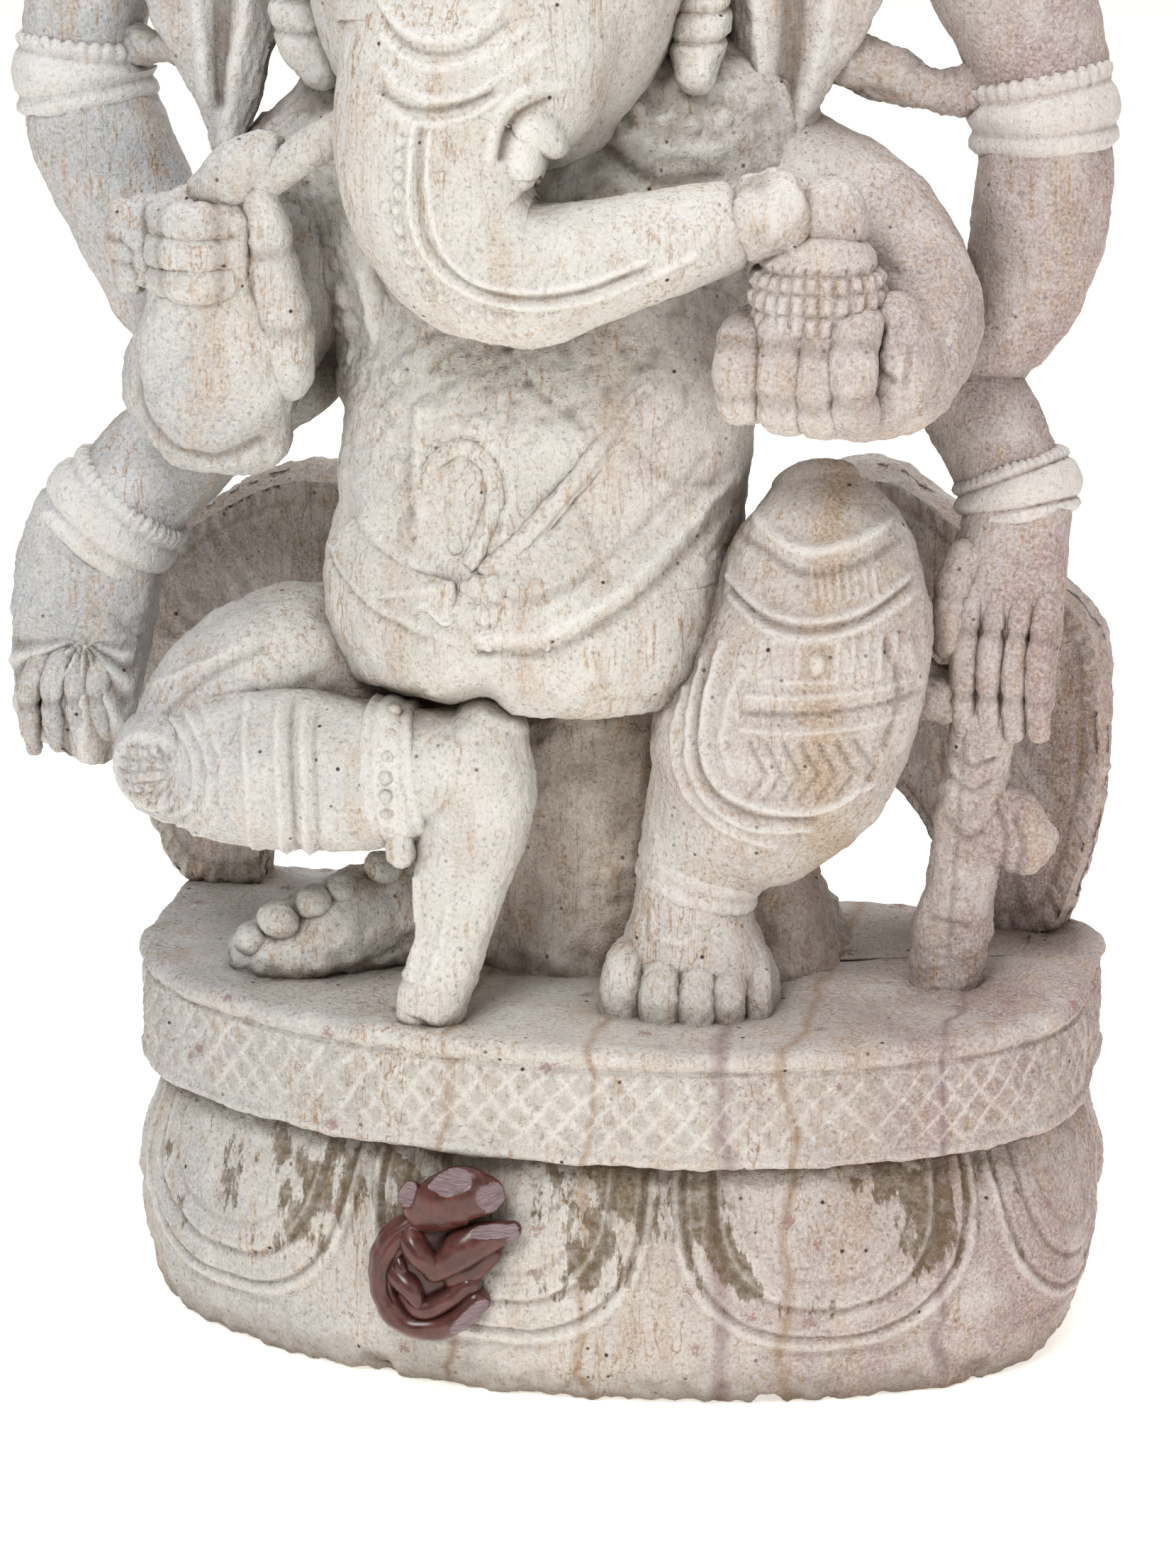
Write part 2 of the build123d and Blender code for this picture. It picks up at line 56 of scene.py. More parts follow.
# helpers that make and mark surfaces
def ripple(points, size, seed, waves=14):
    # sum of plane waves of about one wavelength (size) in random directions, scaled to about -1..1
    rng = np.random.default_rng(seed)
    way = rng.normal(size=(waves, 3))
    way /= np.linalg.norm(way, axis=1, keepdims=True)
    way *= 2 * np.pi / size * rng.uniform(0.6, 1.5, (waves, 1))
    return np.sin(points @ way.T + rng.uniform(0, 2 * np.pi, waves)).sum(-1) * (1.4 / waves) ** 0.5 * 0.8


def smoothLine(stations, count):
    # cubic curve through the stations, sampled evenly along its length; every column is carried along
    s = np.array(stations, float)
    gap = np.maximum(np.linalg.norm(np.diff(s[:, :3], axis=0), axis=1), 1e-6)
    t = np.concatenate([[0], np.cumsum(gap)])
    slope = np.gradient(s, t, axis=0)
    at = np.linspace(0, t[-1], count)
    i = np.clip(np.searchsorted(t, at, side="right") - 1, 0, len(t) - 2)
    h = (t[i + 1] - t[i])[:, None]
    u = (at - t[i])[:, None] / h
    a = (2 * u**3 - 3 * u**2 + 1) * s[i] + (u**3 - 2 * u**2 + u) * h * slope[i]
    return a + (3 * u**2 - 2 * u**3) * s[i + 1] + (u**3 - u**2) * h * slope[i + 1], t[-1]


def unit(v):
    # a vector divided by its own length
    return v / np.maximum(np.linalg.norm(v, axis=-1, keepdims=True), 1e-9)


def gridNormals(p):
    # cross product of the steps round and along the grid, which points outwards
    rnd = np.roll(p, -1, axis=1) - np.roll(p, 1, axis=1)
    return unit(np.cross(rnd, np.gradient(p, axis=0)))


def strokes(px, pz, lines):
    # lines: (points, width, height); height times exp(-(distance / width)^2), raised above 0 or cut below 0
    up = np.zeros_like(px)
    down = np.zeros_like(px)
    for points, width, height in lines:
        route = np.array([(x, z, 0) for x, z in points], float)
        if len(points) > 2:
            route = smoothLine(route, 5 * len(points))[0]
        route = route[:, :2]
        best = np.full(px.shape, 1e9)
        for (ax, az), (bx, bz) in zip(route[:-1], route[1:]):
            dx, dz = bx - ax, bz - az
            u = np.clip(((px - ax) * dx + (pz - az) * dz) / max(dx * dx + dz * dz, 1e-9), 0, 1)
            best = np.minimum(best, (px - ax - u * dx) ** 2 + (pz - az - u * dz) ** 2)
        mark = height * np.exp(-best / width**2)
        up = np.maximum(up, mark)
        down = np.minimum(down, mark)
    return up + down


def beads(px, pz, points, spacing, radius, height):
    # a row of round beads, evenly spaced along a smooth line
    route, length = smoothLine([(x, z, 0) for x, z in points], 200)
    count = max(int(length / spacing), 2)
    best = np.full(px.shape, 1e9)
    for x, z in route[np.linspace(0, 199, count).astype(int), :2]:
        best = np.minimum(best, (px - x) ** 2 + (pz - z) ** 2)
    return height * np.sqrt(np.clip(1 - best / radius**2, 0, 1))


def bell(v, width):
    # a smooth bump: exp(-(v / width)^2), 1 in the middle and nearly 0 past twice the width
    return np.exp(-((v / width) ** 2))


def dimple(x, wide, h, high):
    # a round bump: exp(-(x / wide)^2 - (h / high)^2)
    return np.exp(-((x / wide) ** 2) - (h / high) ** 2)


def offLine(at, pitch):
    # distance from the nearest of a row of lines that lie half a pitch past each whole pitch
    return (at / pitch % 1 - 0.5) * pitch


def frontOnly(n):
    # 1 on faces that look forward, fading to 0 on the sides
    return np.clip(-n[..., 1] * 2.2 - 0.15, 0, 1)


def veined(lines):
    # a relief of strokes alone, on the faces that look forward
    return lambda p, n: strokes(p[..., 0], p[..., 2], lines) * frontOnly(n)


def tube(stations, step=0.5, reference=(0, -1, 0), square=2.0, ends=(1, 1)):
    # an ellipse (half axes wide and deep) carried along the stations (x, y, h, wide, deep);
    # reference is the way that "deep" faces, ends are how rounded each end is, 0 flat to 1 a dome
    s = np.array(stations, float)
    length = np.linalg.norm(np.diff(s[:, :3], axis=0), axis=1).sum()
    line, length = smoothLine(s, max(int(length / step), 6))
    centre, wide, deep = line[:, :3], line[:, 3], line[:, 4]
    along = unit(np.gradient(centre, axis=0))
    dome = np.linspace(0, np.pi / 2, 9)[1:]
    shrink = np.ones(len(centre))
    for end, row in ((0, 0), (1, -1)):
        if ends[end] <= 0:
            continue
        reach = min(wide[row], deep[row]) * ends[end]
        away = along[row] * (-1 if end == 0 else 1)
        cap = centre[row] + away * (reach * np.sin(dome))[:, None]
        parts = (cap, np.full(8, wide[row]), np.full(8, deep[row]), np.tile(along[row], (8, 1)), np.cos(dome))
        if end == 0:
            parts = [v[::-1] for v in parts]
            centre, wide, deep, along, shrink = [
                np.concatenate([v, w]) for v, w in zip(parts, (centre, wide, deep, along, shrink))
            ]
        else:
            centre, wide, deep, along, shrink = [
                np.concatenate([w, v]) for v, w in zip(parts, (centre, wide, deep, along, shrink))
            ]
    facing = np.array(reference, float)
    facing = unit(facing - (along @ facing)[:, None] * along)
    side = np.cross(facing, along)
    columns = max(int(2 * np.pi * max(wide.max(), deep.max()) / step), 12)
    angle = np.linspace(0, 2 * np.pi, columns, endpoint=False)
    c, q = np.cos(angle), np.sin(angle)
    rounding = (np.abs(c) ** square + np.abs(q) ** square) ** (-1 / square)
    shrink = np.maximum(shrink, 0.02)
    p = centre[:, None] + side[:, None] * (c * rounding)[None, :, None] * (wide * shrink)[:, None, None]
    return p + facing[:, None] * (q * rounding)[None, :, None] * (deep * shrink)[:, None, None]


def egg(centre, half, step=0.5, square=2.0):
    # an ellipsoid: ellipses stacked along Z
    rise = np.linspace(-np.pi / 2, np.pi / 2, max(int(np.pi * half[2] / step), 10))[1:-1]
    angle = np.linspace(0, 2 * np.pi, max(int(2 * np.pi * max(half[:2]) / step), 12), endpoint=False)
    c, q = np.cos(angle), np.sin(angle)
    rounding = (np.abs(c) ** square + np.abs(q) ** square) ** (-1 / square)
    x = centre[0] + half[0] * np.cos(rise)[:, None] * (c * rounding)
    y = centre[1] + half[1] * np.cos(rise)[:, None] * (q * rounding)
    z = centre[2] + half[2] * np.sin(rise)[:, None] * np.ones_like(c)
    return np.stack([x, y, z], -1)


def rough(p, seed, amount=0.16, grit=0.045):
    # the carver's uneven surface: slow waves, short tool waves and a fine grit
    return amount * ripple(p, 9, seed) + 0.5 * amount * ripple(
        p, 3.1, seed + 1
    ) + grit * ripple(p, 1.0, seed + 2)


seedCount = [0]


def carve(p, relief=None, amount=0.16, grit=0.045):
    # push a grid out along its own normals by the relief in mm and by the carver's unevenness;
    # relief gives the depth, and may add a second field that colours the line instead of its depth
    seedCount[0] += 1
    n = gridNormals(p)
    made = relief(p, n) if relief else 0
    cut, tone = made if isinstance(made, tuple) else (made, made)
    fade = np.ones(p.shape[0])
    fade[:2] = fade[-2:] = 0
    push = (cut + rough(p, seedCount[0] * 7, amount, grit)) * fade[:, None]
    return p + n * push[..., None], np.zeros(p.shape[:2]) + tone


def stonePiece(name, grids, nodes, material):
    # join closed grids (points, cut depth) into one mesh, each capped by a fan at both ends
    verts, quads, tris, marks, stains, first = [], [], [], [], [], 0
    for p, cut, *stain in grids:
        rows, columns = p.shape[:2]
        index = first + np.arange(rows * columns).reshape(rows, columns)
        right = np.roll(index, -1, axis=1)
        quads.append(np.stack([index[:-1], right[:-1], right[1:], index[1:]], -1).reshape(-1, 4))
        low, high = first + rows * columns, first + rows * columns + 1
        tris.append(np.stack([right[0], index[0], np.full(columns, low)], -1))
        tris.append(np.stack([index[-1], right[-1], np.full(columns, high)], -1))
        verts += [p.reshape(-1, 3), p[0].mean(0)[None], p[-1].mean(0)[None]]
        marks += [cut.ravel(), [cut[0].mean(), cut[-1].mean()]]
        stains += [stain[0].ravel() if stain else np.zeros(cut.size), [0, 0]]
        first = high + 1
    co = np.concatenate(verts)
    co = (co + (0, 0, slabTop)) * mm
    quads, tris = np.concatenate(quads), np.concatenate(tris)
    mesh = bpy.data.meshes.new(name)
    mesh.vertices.add(len(co))
    mesh.vertices.foreach_set("co", co.ravel())
    corners = np.concatenate([quads.ravel(), tris.ravel()])
    mesh.loops.add(len(corners))
    mesh.loops.foreach_set("vertex_index", corners)
    sizes = np.concatenate([np.full(len(quads), 4), np.full(len(tris), 3)])
    mesh.polygons.add(len(sizes))
    mesh.polygons.foreach_set("loop_start", np.concatenate([[0], np.cumsum(sizes)[:-1]]))
    mesh.polygons.foreach_set("use_smooth", np.ones(len(sizes), bool))
    mesh.update(calc_edges=True)
    for label, values in (("relief", marks), ("stain", stains)):
        field = mesh.attributes.new(label, "FLOAT", "POINT")
        field.data.foreach_set("value", np.clip(np.concatenate(values), -1, 1).astype(np.float32))
    mesh.validate()
    piece = bpy.data.objects.new(name, mesh)
    bpy.context.scene.collection.objects.link(piece)
    mesh.materials.append(material)
    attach(piece, "root")
    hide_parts(*nodes)
    return piece


# materials: the carved stone, the waxed stone and the dried glue
def hexColour(text):
    # sRGB hex to linear
    c = np.array([int(text[i:i + 2], 16) / 255 for i in (1, 3, 5)])
    c = np.where(c <= 0.04045, c / 12.92, ((c + 0.055) / 1.055) ** 2.4)
    return (*c, 1.0)


nodeKinds = {  # Blender's node, its fixed settings, the sockets filled in order, and the socket read from it
    "place": ("ShaderNodeTexCoord", {}, (), "Object"),
    "scaled": ("ShaderNodeMapping", {}, ("Vector", "Scale", "Rotation"), "Vector"),
    "across": ("ShaderNodeSeparateXYZ", {}, (0,), "X"),
    "noise": ("ShaderNodeTexNoise", {}, ("Vector", "Scale", "Detail", "Roughness"), 0),
    "cells": ("ShaderNodeTexVoronoi", {}, ("Vector", "Scale"), "Distance"),
    "relief": ("ShaderNodeAttribute", {"attribute_name": "relief"}, (), "Fac"),
    "stain": ("ShaderNodeAttribute", {"attribute_name": "stain"}, (), "Fac"),
    "openness": ("ShaderNodeAmbientOcclusion", {"samples": 6}, ("Distance",), "AO"),
    "mix": ("ShaderNodeMix", {"data_type": "RGBA"}, (0, 6, 7), 2),
    "range": ("ShaderNodeMapRange", {}, (0, 1, 2, 3, 4), 0),
    "add": ("ShaderNodeMath", {"operation": "ADD"}, (0, 1), 0),
    "less": ("ShaderNodeMath", {"operation": "SUBTRACT"}, (0, 1), 0),
    "times": ("ShaderNodeMath", {"operation": "MULTIPLY"}, (0, 1), 0),
    "size": ("ShaderNodeMath", {"operation": "ABSOLUTE"}, (0,), 0),
    "bump": ("ShaderNodeBump", {}, ("Height", "Strength", "Distance"), 0),
}


def add(tree, kind, *values):
    # adds one node of the table above: a value is set on its socket, a socket is linked to it
    name, settings, sockets, read = nodeKinds[kind]
    node = tree.nodes.new(name)
    for key, value in settings.items():
        setattr(node, key, value)
    for socket, value in zip(sockets, values):
        if isinstance(value, bpy.types.NodeSocket):
            tree.links.new(value, node.inputs[socket])
        else:
            node.inputs[socket].default_value = value
    return node.outputs[read]


perMillimetre = (1000, 1000, 1000)


def newMaterial(name):
    # an empty material, with the place on the object in metres and in millimetres
    material = bpy.data.materials.new(name)
    material.use_nodes = True
    tree = material.node_tree
    place = add(tree, "place")
    return material, tree, tree.nodes["Principled BSDF"], place, add(tree, "scaled", place, perMillimetre)


stoneTones = {
    "coolShade": "#acaeb2", "warm": "#cac6c0", "pink": "#917476", "tan": "#98734d", "ochre": "#a5835a",
    "dirtAndShade": "#5f4f3d", "dust": "#e6e4e1", "speck": "#3d3233", "olive": "#5d4a28", "plum": "#80626a",
}
stoneFinish = {"roughness": 0.86, "specular": 0.25, "grainStrength": 0.8, "grainDepth": 0.0004}


def carvedSandstone(name, warmth=0.0, stains=False, cornerShadeStrength=1.0, vein=None):
    # sandstone-like soft stone, hand carved and left unpolished: dry and matt, with vertical tan bedding
    # veins 0.4 to 1 mm wide, ochre fibres 0.25 mm wide, 0.2 mm grains drawn a little coarse so they show
    material, tree, shader, place, p = newMaterial(name)
    streak = add(tree, "scaled", place, (420, 420, 22), (0, 0.03, 0))
    fibre = add(tree, "scaled", place, (2300, 2300, 330))
    across = add(tree, "across", p)
    cloud = add(tree, "noise", p, 0.05, 3)
    # across the figure the colour runs from a cool grey on the left, which is painted cool shade, through warm
    # to the stone's own pink tint on the right, broken up by slow noise
    x = add(tree, "add", across, add(tree, "times", add(tree, "less", cloud, 0.5), 60.0))
    body = add(tree, "mix", add(tree, "range", x, -52, -14), hexColour(stoneTones["coolShade"]),
               hexColour(stoneTones["warm"]))
    body = add(tree, "mix", add(tree, "range", x, 4, 50, 0.0, 0.85), body, hexColour(stoneTones["pink"]))
    body = add(tree, "mix", warmth, body, hexColour(stoneTones["tan"]))
    # slow blotches, lighter where the surface is dusty
    blotch = add(tree, "noise", p, 0.16, 4, 0.6)
    body = add(tree, "mix", add(tree, "range", blotch, 0.45, 0.75, 0.0, 0.45), body,
               hexColour(stoneTones["dust"]))
    if vein is not None:
        # one broad rusty bed of the stone crosses this member, 2 to 4 mm wide
        bed = add(tree, "size",
                  add(tree, "less", add(tree, "add", across, add(tree, "times", blotch, 5.0)), vein + 2.5))
        body = add(tree, "mix", add(tree, "range", bed, 0.6, 3.4, 0.55, 0.0), body,
                   hexColour(stoneTones["ochre"]))
    # long veins: the thin lines where a stretched noise passes its middle
    beds = add(tree, "noise", streak, 1.0, 3, 0.55)
    line = add(tree, "range", add(tree, "size", add(tree, "less", beds, 0.5)), 0.0, 0.016, 1.0, 0.0)
    where = add(tree, "range", add(tree, "noise", p, 0.07, 2), 0.42, 0.62)
    line = add(tree, "times", line, add(tree, "times", where, 0.9))
    body = add(tree, "mix", line, body, hexColour(stoneTones["tan"]))
    band = add(tree, "range", add(tree, "noise", streak, 0.45, 3, 0.6), 0.54, 0.66, 0.0, 0.30)
    body = add(tree, "mix", band, body, hexColour(stoneTones["ochre"]))
    # short fibres
    thread = add(tree, "noise", fibre, 0.8, 3, 0.65)
    body = add(
        tree, "mix",
        add(tree, "times", add(tree, "range", thread, 0.54, 0.66, 0.0, 0.75),
            add(tree, "range", add(tree, "noise", p, 0.13, 3), 0.42, 0.62, 0.15, 1.0)), body,
        hexColour(stoneTones["ochre"])
    )
    # grains
    grain = add(tree, "noise", p, 2.6, 3, 0.75)
    body = add(tree, "mix", add(tree, "range", grain, 0.42, 0.66, 0.0, 0.42), body,
               hexColour(stoneTones["dust"]))
    body = add(tree, "mix", add(tree, "range", grain, 0.42, 0.24, 0.0, 0.22), body,
               hexColour(stoneTones["dirtAndShade"]))
    pit = add(tree, "noise", p, 2.1, 2, 0.6)
    body = add(tree, "mix", add(tree, "range", pit, 0.64, 0.76, 0.0, 0.32), body, hexColour(stoneTones["dirtAndShade"]))
    if stains:
        # two dark veins that run down the front of the plinth, one plum and one tan
        wobble = add(tree, "times", add(tree, "less", add(tree, "noise", p, 0.12, 2), 0.5), 5.0)
        for centre, width, tone in ((16.5, 0.8, "plum"), (23.0, 0.5, "tan"), (-12.0, 0.4, "tan"),
                                    (3.0, 0.45, "tan"), (38.0, 0.4, "plum")):
            off = add(tree, "size", add(tree, "less", add(tree, "add", across, wobble), centre))
            mask = add(tree, "times", add(tree, "range", off, width * 0.2, width * 1.8, 0.65, 0.0),
                       add(tree, "range", blotch, 0.3, 0.6, 0.35, 1.0))
            body = add(tree, "mix", mask, body, hexColour(stoneTones[tone]))
        # dried glue and water that ran down from under the slab, each run with its own length
        runs = add(tree, "scaled", place, (640, 640, 120), (0, 0.35, 0))
        run = add(tree, "noise", runs, 1.0, 5, 0.68)
        stain = add(tree, "stain")
        wet = add(tree, "add", run, add(tree, "times", stain, 0.42))
        drip = add(tree, "times", add(tree, "range", wet, 0.69, 0.74, 0.0, 0.85),
                   add(tree, "range", stain, 0.02, 0.12))
        drip = add(tree, "times", drip,
                   add(tree, "range", add(tree, "noise", p, 0.9, 4, 0.7), 0.3, 0.6, 0.45, 1.0))
        body = add(tree, "mix", drip, body, hexColour(stoneTones["olive"]))
        # small maroon mineral spots
        spot = add(tree, "cells", p, 0.17)
        spot = add(tree, "add", spot, add(tree, "times", add(tree, "less", pit, 0.5), 0.5))
        body = add(tree, "mix", add(tree, "range", spot, 0.08, 0.13, 0.6, 0.0), body, hexColour("#8a5f5f"))
    # sparse dark grit
    grit = add(tree, "cells", p, 0.42)
    gritWhere = add(tree, "range", add(tree, "noise", p, 0.11, 2), 0.44, 0.58)
    body = add(tree, "mix", add(tree, "times", add(tree, "range", grit, 0.06, 0.12, 1.0, 0.0), gritWhere), body,
               hexColour(stoneTones["speck"]))
    # cut lines hold dirt and raised lines are rubbed pale
    relief = add(tree, "relief")
    body = add(tree, "mix", add(tree, "range", relief, 0.05, 0.5, 0.0, 0.55), body,
               hexColour(stoneTones["dust"]))
    body = add(tree, "mix", add(tree, "range", relief, -0.05, -0.5, 0.0, 0.55), body,
               hexColour(stoneTones["dirtAndShade"]))
    # painted shade in the corners between members: where ambient occlusion finds stone close by, the colour is
    # darkened towards the dirt-and-shade brown, mottled by the blotches
    openness = add(tree, "openness", 0.007)
    paintedCornerShade = add(tree, "times", add(tree, "range", openness, 0.82, 0.28, 0.0, 0.85 * cornerShadeStrength),
                 add(tree, "range", blotch, 0.2, 0.7, 0.6, 1.0))
    body = add(tree, "mix", paintedCornerShade, body, hexColour(stoneTones["dirtAndShade"]))
    tree.links.new(body, shader.inputs["Base Color"])
    shader.inputs["Roughness"].default_value = stoneFinish["roughness"]
    shader.inputs["Specular IOR Level"].default_value = stoneFinish["specular"]
    height = add(tree, "add", add(tree, "times", grain, 0.7), add(tree, "times", thread, 0.6))
    height = add(tree, "less", height, add(tree, "times", add(tree, "range", pit, 0.58, 0.75), 0.5))
    bump = add(tree, "bump", height, stoneFinish["grainStrength"], stoneFinish["grainDepth"])
    tree.links.new(bump, shader.inputs["Normal"])
    return material


def waxedMaroonStone():
    # dark soft stone, carved and waxed: smooth, with wide soft highlights, and dull where it was cut flat
    material, tree, shader, place, p = newMaterial("waxedMaroonStone")
    cloud = add(tree, "noise", p, 0.5, 4, 0.6)
    body = add(tree, "mix", add(tree, "range", cloud, 0.35, 0.7), hexColour("#40221f"), hexColour("#643932"))
    facet = add(tree, "relief")
    cutFlat = add(tree, "range", facet, 0.55, 0.75)
    scratch = add(tree, "scaled", place, (700, 700, 9000), (0, 0.7, 0))
    lines = add(tree, "noise", scratch, 1.0, 2, 0.6)
    dull = add(tree, "mix", add(tree, "range", lines, 0.4, 0.65), hexColour("#6c595d"), hexColour("#8f7d82"))
    body = add(tree, "mix", cutFlat, body, dull)
    # painted shade: the tight hollows, found by ambient occlusion, are darkened to near black
    openness = add(tree, "openness", 0.002)
    body = add(tree, "mix", add(tree, "range", openness, 0.8, 0.3, 0.0, 0.7), body, hexColour("#2b1a19"))
    tree.links.new(body, shader.inputs["Base Color"])
    gloss = add(tree, "add", add(tree, "range", cloud, 0.3, 0.7, 0.2, 0.34), add(tree, "times", cutFlat, 0.4))
    tree.links.new(gloss, shader.inputs["Roughness"])
    bump = add(tree, "bump", add(tree, "add", cloud, add(tree, "times", lines, cutFlat)), 0.3, 0.00012)
    tree.links.new(bump, shader.inputs["Normal"])
    return material


def driedGlue():
    # old clear adhesive, yellowed: thin, uneven and half glossy
    material, tree, shader, _, p = newMaterial("driedGlue")
    cloud = add(tree, "noise", p, 0.7, 4, 0.65)
    body = add(tree, "mix", add(tree, "range", cloud, 0.35, 0.65), hexColour("#54482c"), hexColour("#86785a"))
    tree.links.new(body, shader.inputs["Base Color"])
    tree.links.new(add(tree, "range", cloud, 0.3, 0.7, 0.3, 0.6), shader.inputs["Roughness"])
    bump = add(tree, "bump", cloud, 0.4, 0.0003)
    tree.links.new(bump, shader.inputs["Normal"])
    return material


paleStone = carvedSandstone("carvedSandstonePale")
plinthStone = carvedSandstone("carvedSandstonePlinth", 0.06, stains=True)
pinkStone = carvedSandstone("carvedSandstonePink", 0.03)
legStone = carvedSandstone("carvedSandstoneVeined", 0.03, vein=25.0)
# painted shade: a tanner copy with stronger darkened corners, for the seat between the legs and the left back
# plate, which sit in shadow
shadedWallStone = carvedSandstone("carvedSandstoneShaded", 0.36, cornerShadeStrength=1.2)
maroonStone = waxedMaroonStone()
glue = driedGlue()
print("materials made")


def pale(name, grids, *nodes):
    # a member in the pale stone; it replaces the node of its own name unless told otherwise
    return stonePiece(name, grids, nodes or (name,), paleStone)


def pink(name, grids, *nodes):
    # the same, in the pinkish stone of the right side
    return stonePiece(name, grids, nodes or (name,), pinkStone)


# the plinth: the slab and the lotus
def plinthOutline(columns):
    # half-oval front, straight ends, round back corners and flat back, evenly spaced; also its inward normal
    half, front, back, r = plinthHalf, plinthFront, plinthBack, cornerRadius
    turn = np.linspace(np.pi, 2 * np.pi, 400)
    oval = np.stack([half * np.cos(turn), front * np.sin(turn)], -1)
    bend = np.linspace(0, np.pi / 2, 60)
    right = np.stack([half - r + r * np.cos(bend), back - r + r * np.sin(bend)], -1)
    left = np.stack([-half + r - r * np.sin(bend), back - r + r * np.cos(bend)], -1)
    path = np.concatenate([oval, right, left, oval[:1]])
    s = np.concatenate([[0], np.cumsum(np.linalg.norm(np.diff(path, axis=0), axis=1))])
    at = np.linspace(0, s[-1], columns, endpoint=False)
    xy = np.stack([np.interp(at, s, path[:, 0]), np.interp(at, s, path[:, 1])], -1)
    step = np.roll(xy, -3, axis=0) - np.roll(xy, 3, axis=0)
    inward = unit(np.stack([-step[:, 1], step[:, 0]], -1))
    return xy, inward, at, s[-1]


def plinthGrid(columns, profile, step):
    # profile points (height, inset) carried round the outline, resampled evenly; heights from the plinth's foot
    prof = np.array(profile, float)
    # few rings on the two flat faces
    wideApart = np.where(np.maximum(prof[1:, 1], prof[:-1, 1]) > 16, 0.125, 1)
    s = np.concatenate([[0], np.cumsum(np.linalg.norm(np.diff(prof, axis=0), axis=1) * wideApart)])
    at = np.linspace(0, s[-1], int(s[-1] / step))
    z, inset = np.interp(at, s, prof[:, 0]), np.interp(at, s, prof[:, 1])
    xy, inward, around, length = plinthOutline(columns)
    ring = xy[None] + inward[None] * np.minimum(inset, 16)[:, None, None]
    far = np.clip((inset - 16) / 12, 0, 1)[:, None, None]  # past 16 mm in, the rings close on the middle
    ring = ring * (1 - far) + np.array([0.0, -2.0]) * far
    high = np.broadcast_to((z - slabTop)[:, None, None], ring.shape[:2] + (1,))
    return np.concatenate([ring, high], -1), around, length, z, inset


slab = {"hatchPitch": 3.0, "hatchDepth": 0.34, "hatchWidth": 0.32, "bandLow": 2.1, "bandHigh": 10.2,
        "slant": 0.85}


def makeSlab():
    # the slab: its profile carried round the outline, its band cut by two crossing sets of lines
    top, foot = slabTop, slabFoot
    profile = [
        (foot, 28), (foot, 3.2), (foot + 0.2, 1.0), (foot + 0.7, 0.3), (foot + 1.3, 0.25), (foot + 1.8, 0.7),
        (foot + 2.1, 0.55), (foot + 6, 0.35), (foot + 10.1, 0.65), (foot + 10.5, 1.15), (foot + 11.0, 0.75),
        (foot + 11.7, 0.3), (top - 0.6, 0.5), (top - 0.15, 1.1), (top, 2.0), (top, 28),
    ]
    grid, around, length, z, inset = plinthGrid(880, profile, 0.3)

    def relief(p, n):
        # two slanted sets of cuts: each a bell curve of the distance to the nearest whole turn of its phase
        h = (z - foot)[:, None]
        s = around[None]
        count = round(length / slab["hatchPitch"])
        wander = 0.35 * ripple(p, 14, 5) + 0.2 * ripple(p, 5, 6)
        cut = np.zeros(p.shape[:2])
        for way in (1, -1):
            phase = (s + way * slab["slant"] * h + wander) * count / length
            off = np.abs(phase - np.round(phase)) * slab["hatchPitch"]
            cut = np.maximum(cut, bell(off, slab["hatchWidth"]))
        inBand = np.clip((h - slab["bandLow"]) / 0.3, 0, 1) * np.clip((slab["bandHigh"] - h) / 0.3, 0, 1)
        onSide = (inset < 1.6)[:, None]
        depth = slab["hatchDepth"] * (0.75 + 0.35 * ripple(p, 20, 8))
        chips = np.clip(ripple(p, 7, 9) - 1.05, 0, 1) * 0.9 * bell(h - 12.6, 1.2)
        flat = (inset > 2.0)[:, None] & (h > 6)
        tool = 0.06 * ripple(p * (1, 1, 0) + (0, 0, 3), 5, 10) * flat
        scored = cut * inBand * onSide
        pits = np.clip(ripple(p, 1.7, 11) - 0.3, 0, 1) * 0.22 * inBand * onSide * (1 - cut)
        # the scored lines are pale with stone dust, and the diamonds between them hold dirt
        return -scored * depth - pits - chips + tool, 0.42 * scored - 0.2 * inBand * onSide * (1 - cut)

    return [carve(grid, relief, 0.14, 0.05)]


lotus = {"count": 8, "tipHeight": 6.4, "shoulder": 26.0, "rise": 0.55, "firstPetal": 0.30}


def lotusPetals(p, z, around, length):
    # u runs from one petal's middle to the next, and f grows from 0 at a petal's heart to 1 at its edge
    pitch = length / lotus["count"]
    u = (around[None] + 1.4 * ripple(p * (1, 1, 0), 60, 21)) / pitch + lotus["firstPetal"]
    off = np.abs(u - np.round(u)) * 2
    down = np.clip((lotus["shoulder"] - z[:, None]) / (lotus["shoulder"] - lotus["tipHeight"]), 0, 1.3)
    return (off / 0.98) ** 2.3 + down**2.7, off, pitch


